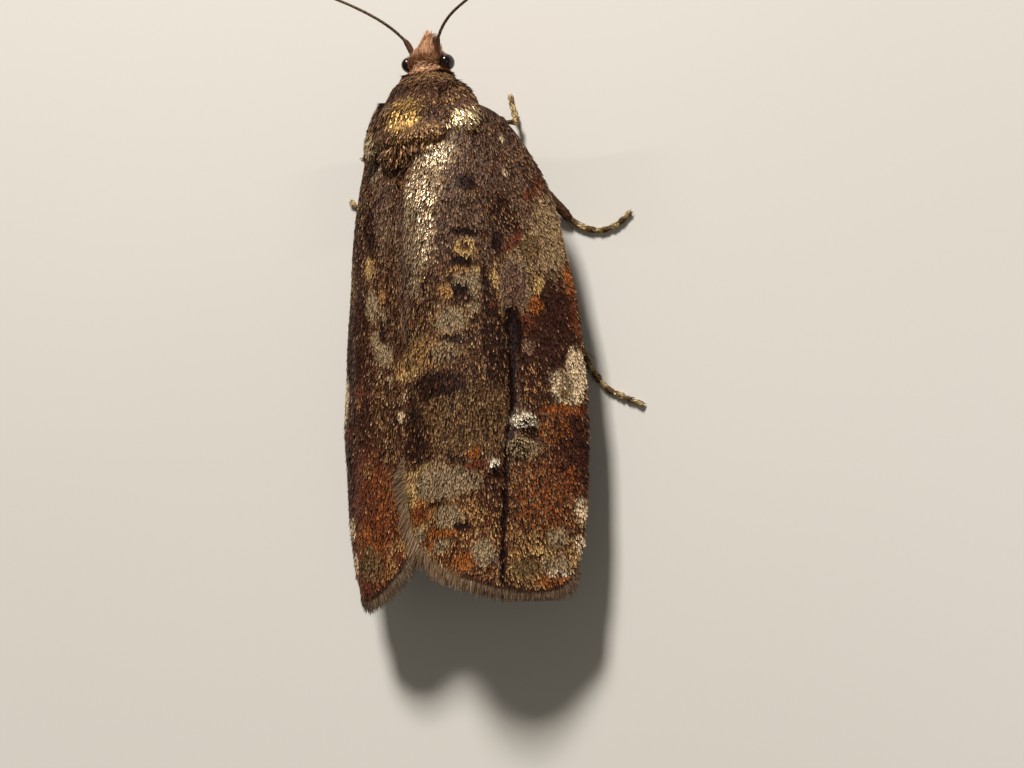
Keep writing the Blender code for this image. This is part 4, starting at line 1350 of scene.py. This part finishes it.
hind_finish, wire = new_finish("hindwing_coat")
place, _, _, seed = wire.scale_facts()
ground = (place.cloud(0.5) + (seed - 0.5) * 0.5).rises(0.3, 0.7)
ground = ground.blend(paint(106, 92, 82), paint(140, 124, 110))
ground = place.part("X").rises(3.0, 9.5).blend(ground.times(1.15), ground.times(0.75))
apply_skin(wire, ground.times(0.7 + 0.6 * seed.dice(9.1)), 14.0, strength=0.5)
for word in SIDES:
    membrane = make_membrane("hindwing_%s_membrane" % word, word, hind_outline, hind_depth, 80, 36)
    fit(membrane, hind_finish, "hindwing_scales", "hindwing_" + word)
    rng = np.random.default_rng(61 + SIDES[word])
    s, t = rng.random((2, HIND_SCALES))
    along, out = hind_outline(word, s, t)
    root, normal, back, outward = on_wing(word, hind_depth, along, out)
    lie = back + outward * ((out - 1.0) / (along + 3.0) + rng.normal(0.0, 0.2, len(s)))[:, None]
    coat = lay_vanes("hindwing_%s_scales" % word, root, normal, lie,
                     HIND_SCALE_LENGTH * rng.normal(1.0, 0.14, len(s)), HIND_SCALE_WIDTH, 0.1, 0.02,
                     rng.normal(0.0, 0.2, len(s)), columns(along, out, 0.0), wing_spread(along, out), rng)
    fit(coat, hind_finish, "hindwing_scales")
    along, out = wing_rows(word, UNDER_ROW_PITCH, UNDER_SCALE_PITCH, 0.0, rng)
    count = len(along)
    root, normal, back, outward = on_wing(word, under_forewing, along, out)
    coat = lay_vanes("forewing_%s_underside_scales" % word, root, -normal,
                     back + rng.normal(0.0, 0.15, (count, 3)),
                     UNDER_SCALE_LENGTH * rng.normal(1.0, 0.14, count), UNDER_SCALE_WIDTH, 0.08, 0.0,
                     rng.normal(0.0, 0.2, count), columns(along, out, 0.0), wing_spread(along, out), rng)
    fit(coat, hind_finish, "wing_scales")
    t = np.linspace(0.0, 1.0, HIND_HAIRS)
    along, out = hind_outline(word, 1.0, t)
    root, normal, back, outward = on_wing(word, hind_depth, along - 0.03, out)
    lie = back + outward * (0.5 * (2 * t - 1) ** 3 + rng.normal(0.0, 0.1, len(t)))[:, None]
    fringe = lay_vanes("hindwing_%s_fringe" % word, root, normal, lie,
                       HIND_HAIR_LENGTH * rng.normal(1.0, 0.14, len(t)), HIND_HAIR_WIDTH, 0.0, 0.0,
                       rng.normal(0.0, 0.5, len(t)), columns(along, out, 1.0), wing_spread(along, out),
                       rng, HAIR)
    fit(fringe, fringe_finish, "hindwing_scales")


# ---- Eyes ----
# Two bulging compound eyes, black-brown and glossy, faceted all over, set in the sides of the head
# between the feelers and the cheeks.
EYE_CENTRES = {"right": (-0.49, -1.29, 2.12), "left": (0.49, -1.38, 2.12)}
EYE_RADII = (0.185, 0.195, 0.24)
eye_finish, wire = new_finish("compound_eye")
place = wire.named("place")
glow = place.cloud(0.2).rises(0.3, 0.7).blend(paint(20, 13, 12), paint(36, 22, 18))
apply_finish(wire, Base_Color=glow, Roughness=0.2, Normal=(1.0 - place.cells(34.0)).relief(0.3, 3e-6))
for word, side in SIDES.items():
    points, faces = closed(ball_rings(EYE_CENTRES[word], EYE_RADII, (0.0, side * 10.0, 0.0), 40, 56))
    fit(smooth_mesh("eye_%s_facets" % word, points, faces, points), eye_finish, "eye", "eye_" + word)


# ---- Feelers ----
# A thick root joint and a whip of about forty short rings, each ringed with pale scales at its tip,
# swept up and out from between the eyes.
FEELERS = {
    "left": ((0.27, -1.48, 2.28), (0.42, -1.9, 2.5), (0.85, -2.36, 2.97), (1.78, -2.93, 3.42),
             (3.0, -3.45, 3.95), (4.2, -3.85, 4.35), (4.75, -3.95, 4.55)),
    "right": ((-0.33, -1.4, 2.28), (-0.48, -1.78, 2.5), (-1.03, -2.08, 2.98), (-1.8, -2.28, 3.42),
              (-3.0, -2.6, 3.95), (-4.2, -2.95, 4.35), (-4.75, -3.05, 4.55)),
}
FEELER_RINGS = 46
ROOT_JOINT = 0.42
WHIP_STEPS = 620
WHIP_SIDES = 12
SCALES_ROUND = 16
ROOT_SCALES = 420


def feeler_radius(length):
    pitch = (length - ROOT_JOINT) / FEELER_RINGS

    def radius(s):
        joint = through(((0.0, 0.05), (0.12, 0.066), (0.3, 0.062), (ROOT_JOINT, 0.034)), s)
        share = np.clip((s - ROOT_JOINT) / (length - ROOT_JOINT), 0.0, 1.0)
        swell = 0.86 + 0.14 * np.sin(pi * (((s - ROOT_JOINT) / pitch) % 1.0)) ** 0.7
        whip = (0.036 - 0.014 * share) * swell
        return np.where(s < ROOT_JOINT, joint, whip)
    return radius


feeler_finish, wire = new_finish("feeler_horn")
place, _, _, seed = wire.scale_facts()
ring = (place.part("X") * FEELER_RINGS).maths("FRACT")
brown = (place.cloud(0.1) + (seed - 0.5) * 0.5).rises(0.2, 0.8).blend(paint(74, 52, 38), paint(112, 84, 58))
horn = (ring.rises(0.62, 0.75) * 0.55).blend(brown, paint(168, 140, 100))
horn = place.part("X").rises(0.0, -0.02).blend(horn, paint(120, 82, 56))
apply_finish(wire, Base_Color=horn, Roughness=0.5)
for word in SIDES:
    points = FEELERS[word]
    line, stations = route(points, 900)
    length = stations[-1]
    share = (np.linspace(0.0, length, WHIP_STEPS) - ROOT_JOINT) / (length - ROOT_JOINT)
    share = np.concatenate([np.repeat(share, WHIP_SIDES), [share[0], share[-1]]])
    points, faces = closed(tube(points, WHIP_STEPS, feeler_radius(length), WHIP_SIDES))
    whip = smooth_mesh("antenna_%s_rings" % word, points, faces, columns(share, 0.0, 0.0))
    store(whip, "vane", columns(0 * share, 0.0, 0.5))
    fit(whip, feeler_finish, "feeler", "antenna_" + word)
    rng = np.random.default_rng(71 + SIDES[word])
    rows = np.arange(FEELER_RINGS * SCALES_ROUND * 2) // SCALES_ROUND
    s = ROOT_JOINT + (length - ROOT_JOINT) * (rows + 0.3) / (FEELER_RINGS * 2)
    s = np.concatenate([s, rng.uniform(0.08, ROOT_JOINT, ROOT_SCALES)])
    around = rng.uniform(0.0, FULL_TURN, len(s))
    middle = through(list(zip(stations, line)), s)
    ahead = unit(through(list(zip(stations, unit(np.gradient(line, axis=0)))), s))
    right, high = square_to(ahead)
    normal = right * np.cos(around)[:, None] + high * np.sin(around)[:, None]
    root = middle + normal * (feeler_radius(length)(s) * 0.93)[:, None]
    place = columns((s - ROOT_JOINT) / (length - ROOT_JOINT), around, 0.0)
    coat = lay_vanes("antenna_%s_scales" % word, root, normal, ahead, np.where(s < ROOT_JOINT, 0.1, 0.056),
                     0.018, 0.1, 0.0, rng.normal(0.0, 0.2, len(s)), place,
                     columns(around / FULL_TURN, s / length), rng)
    fit(coat, feeler_finish, "feeler")
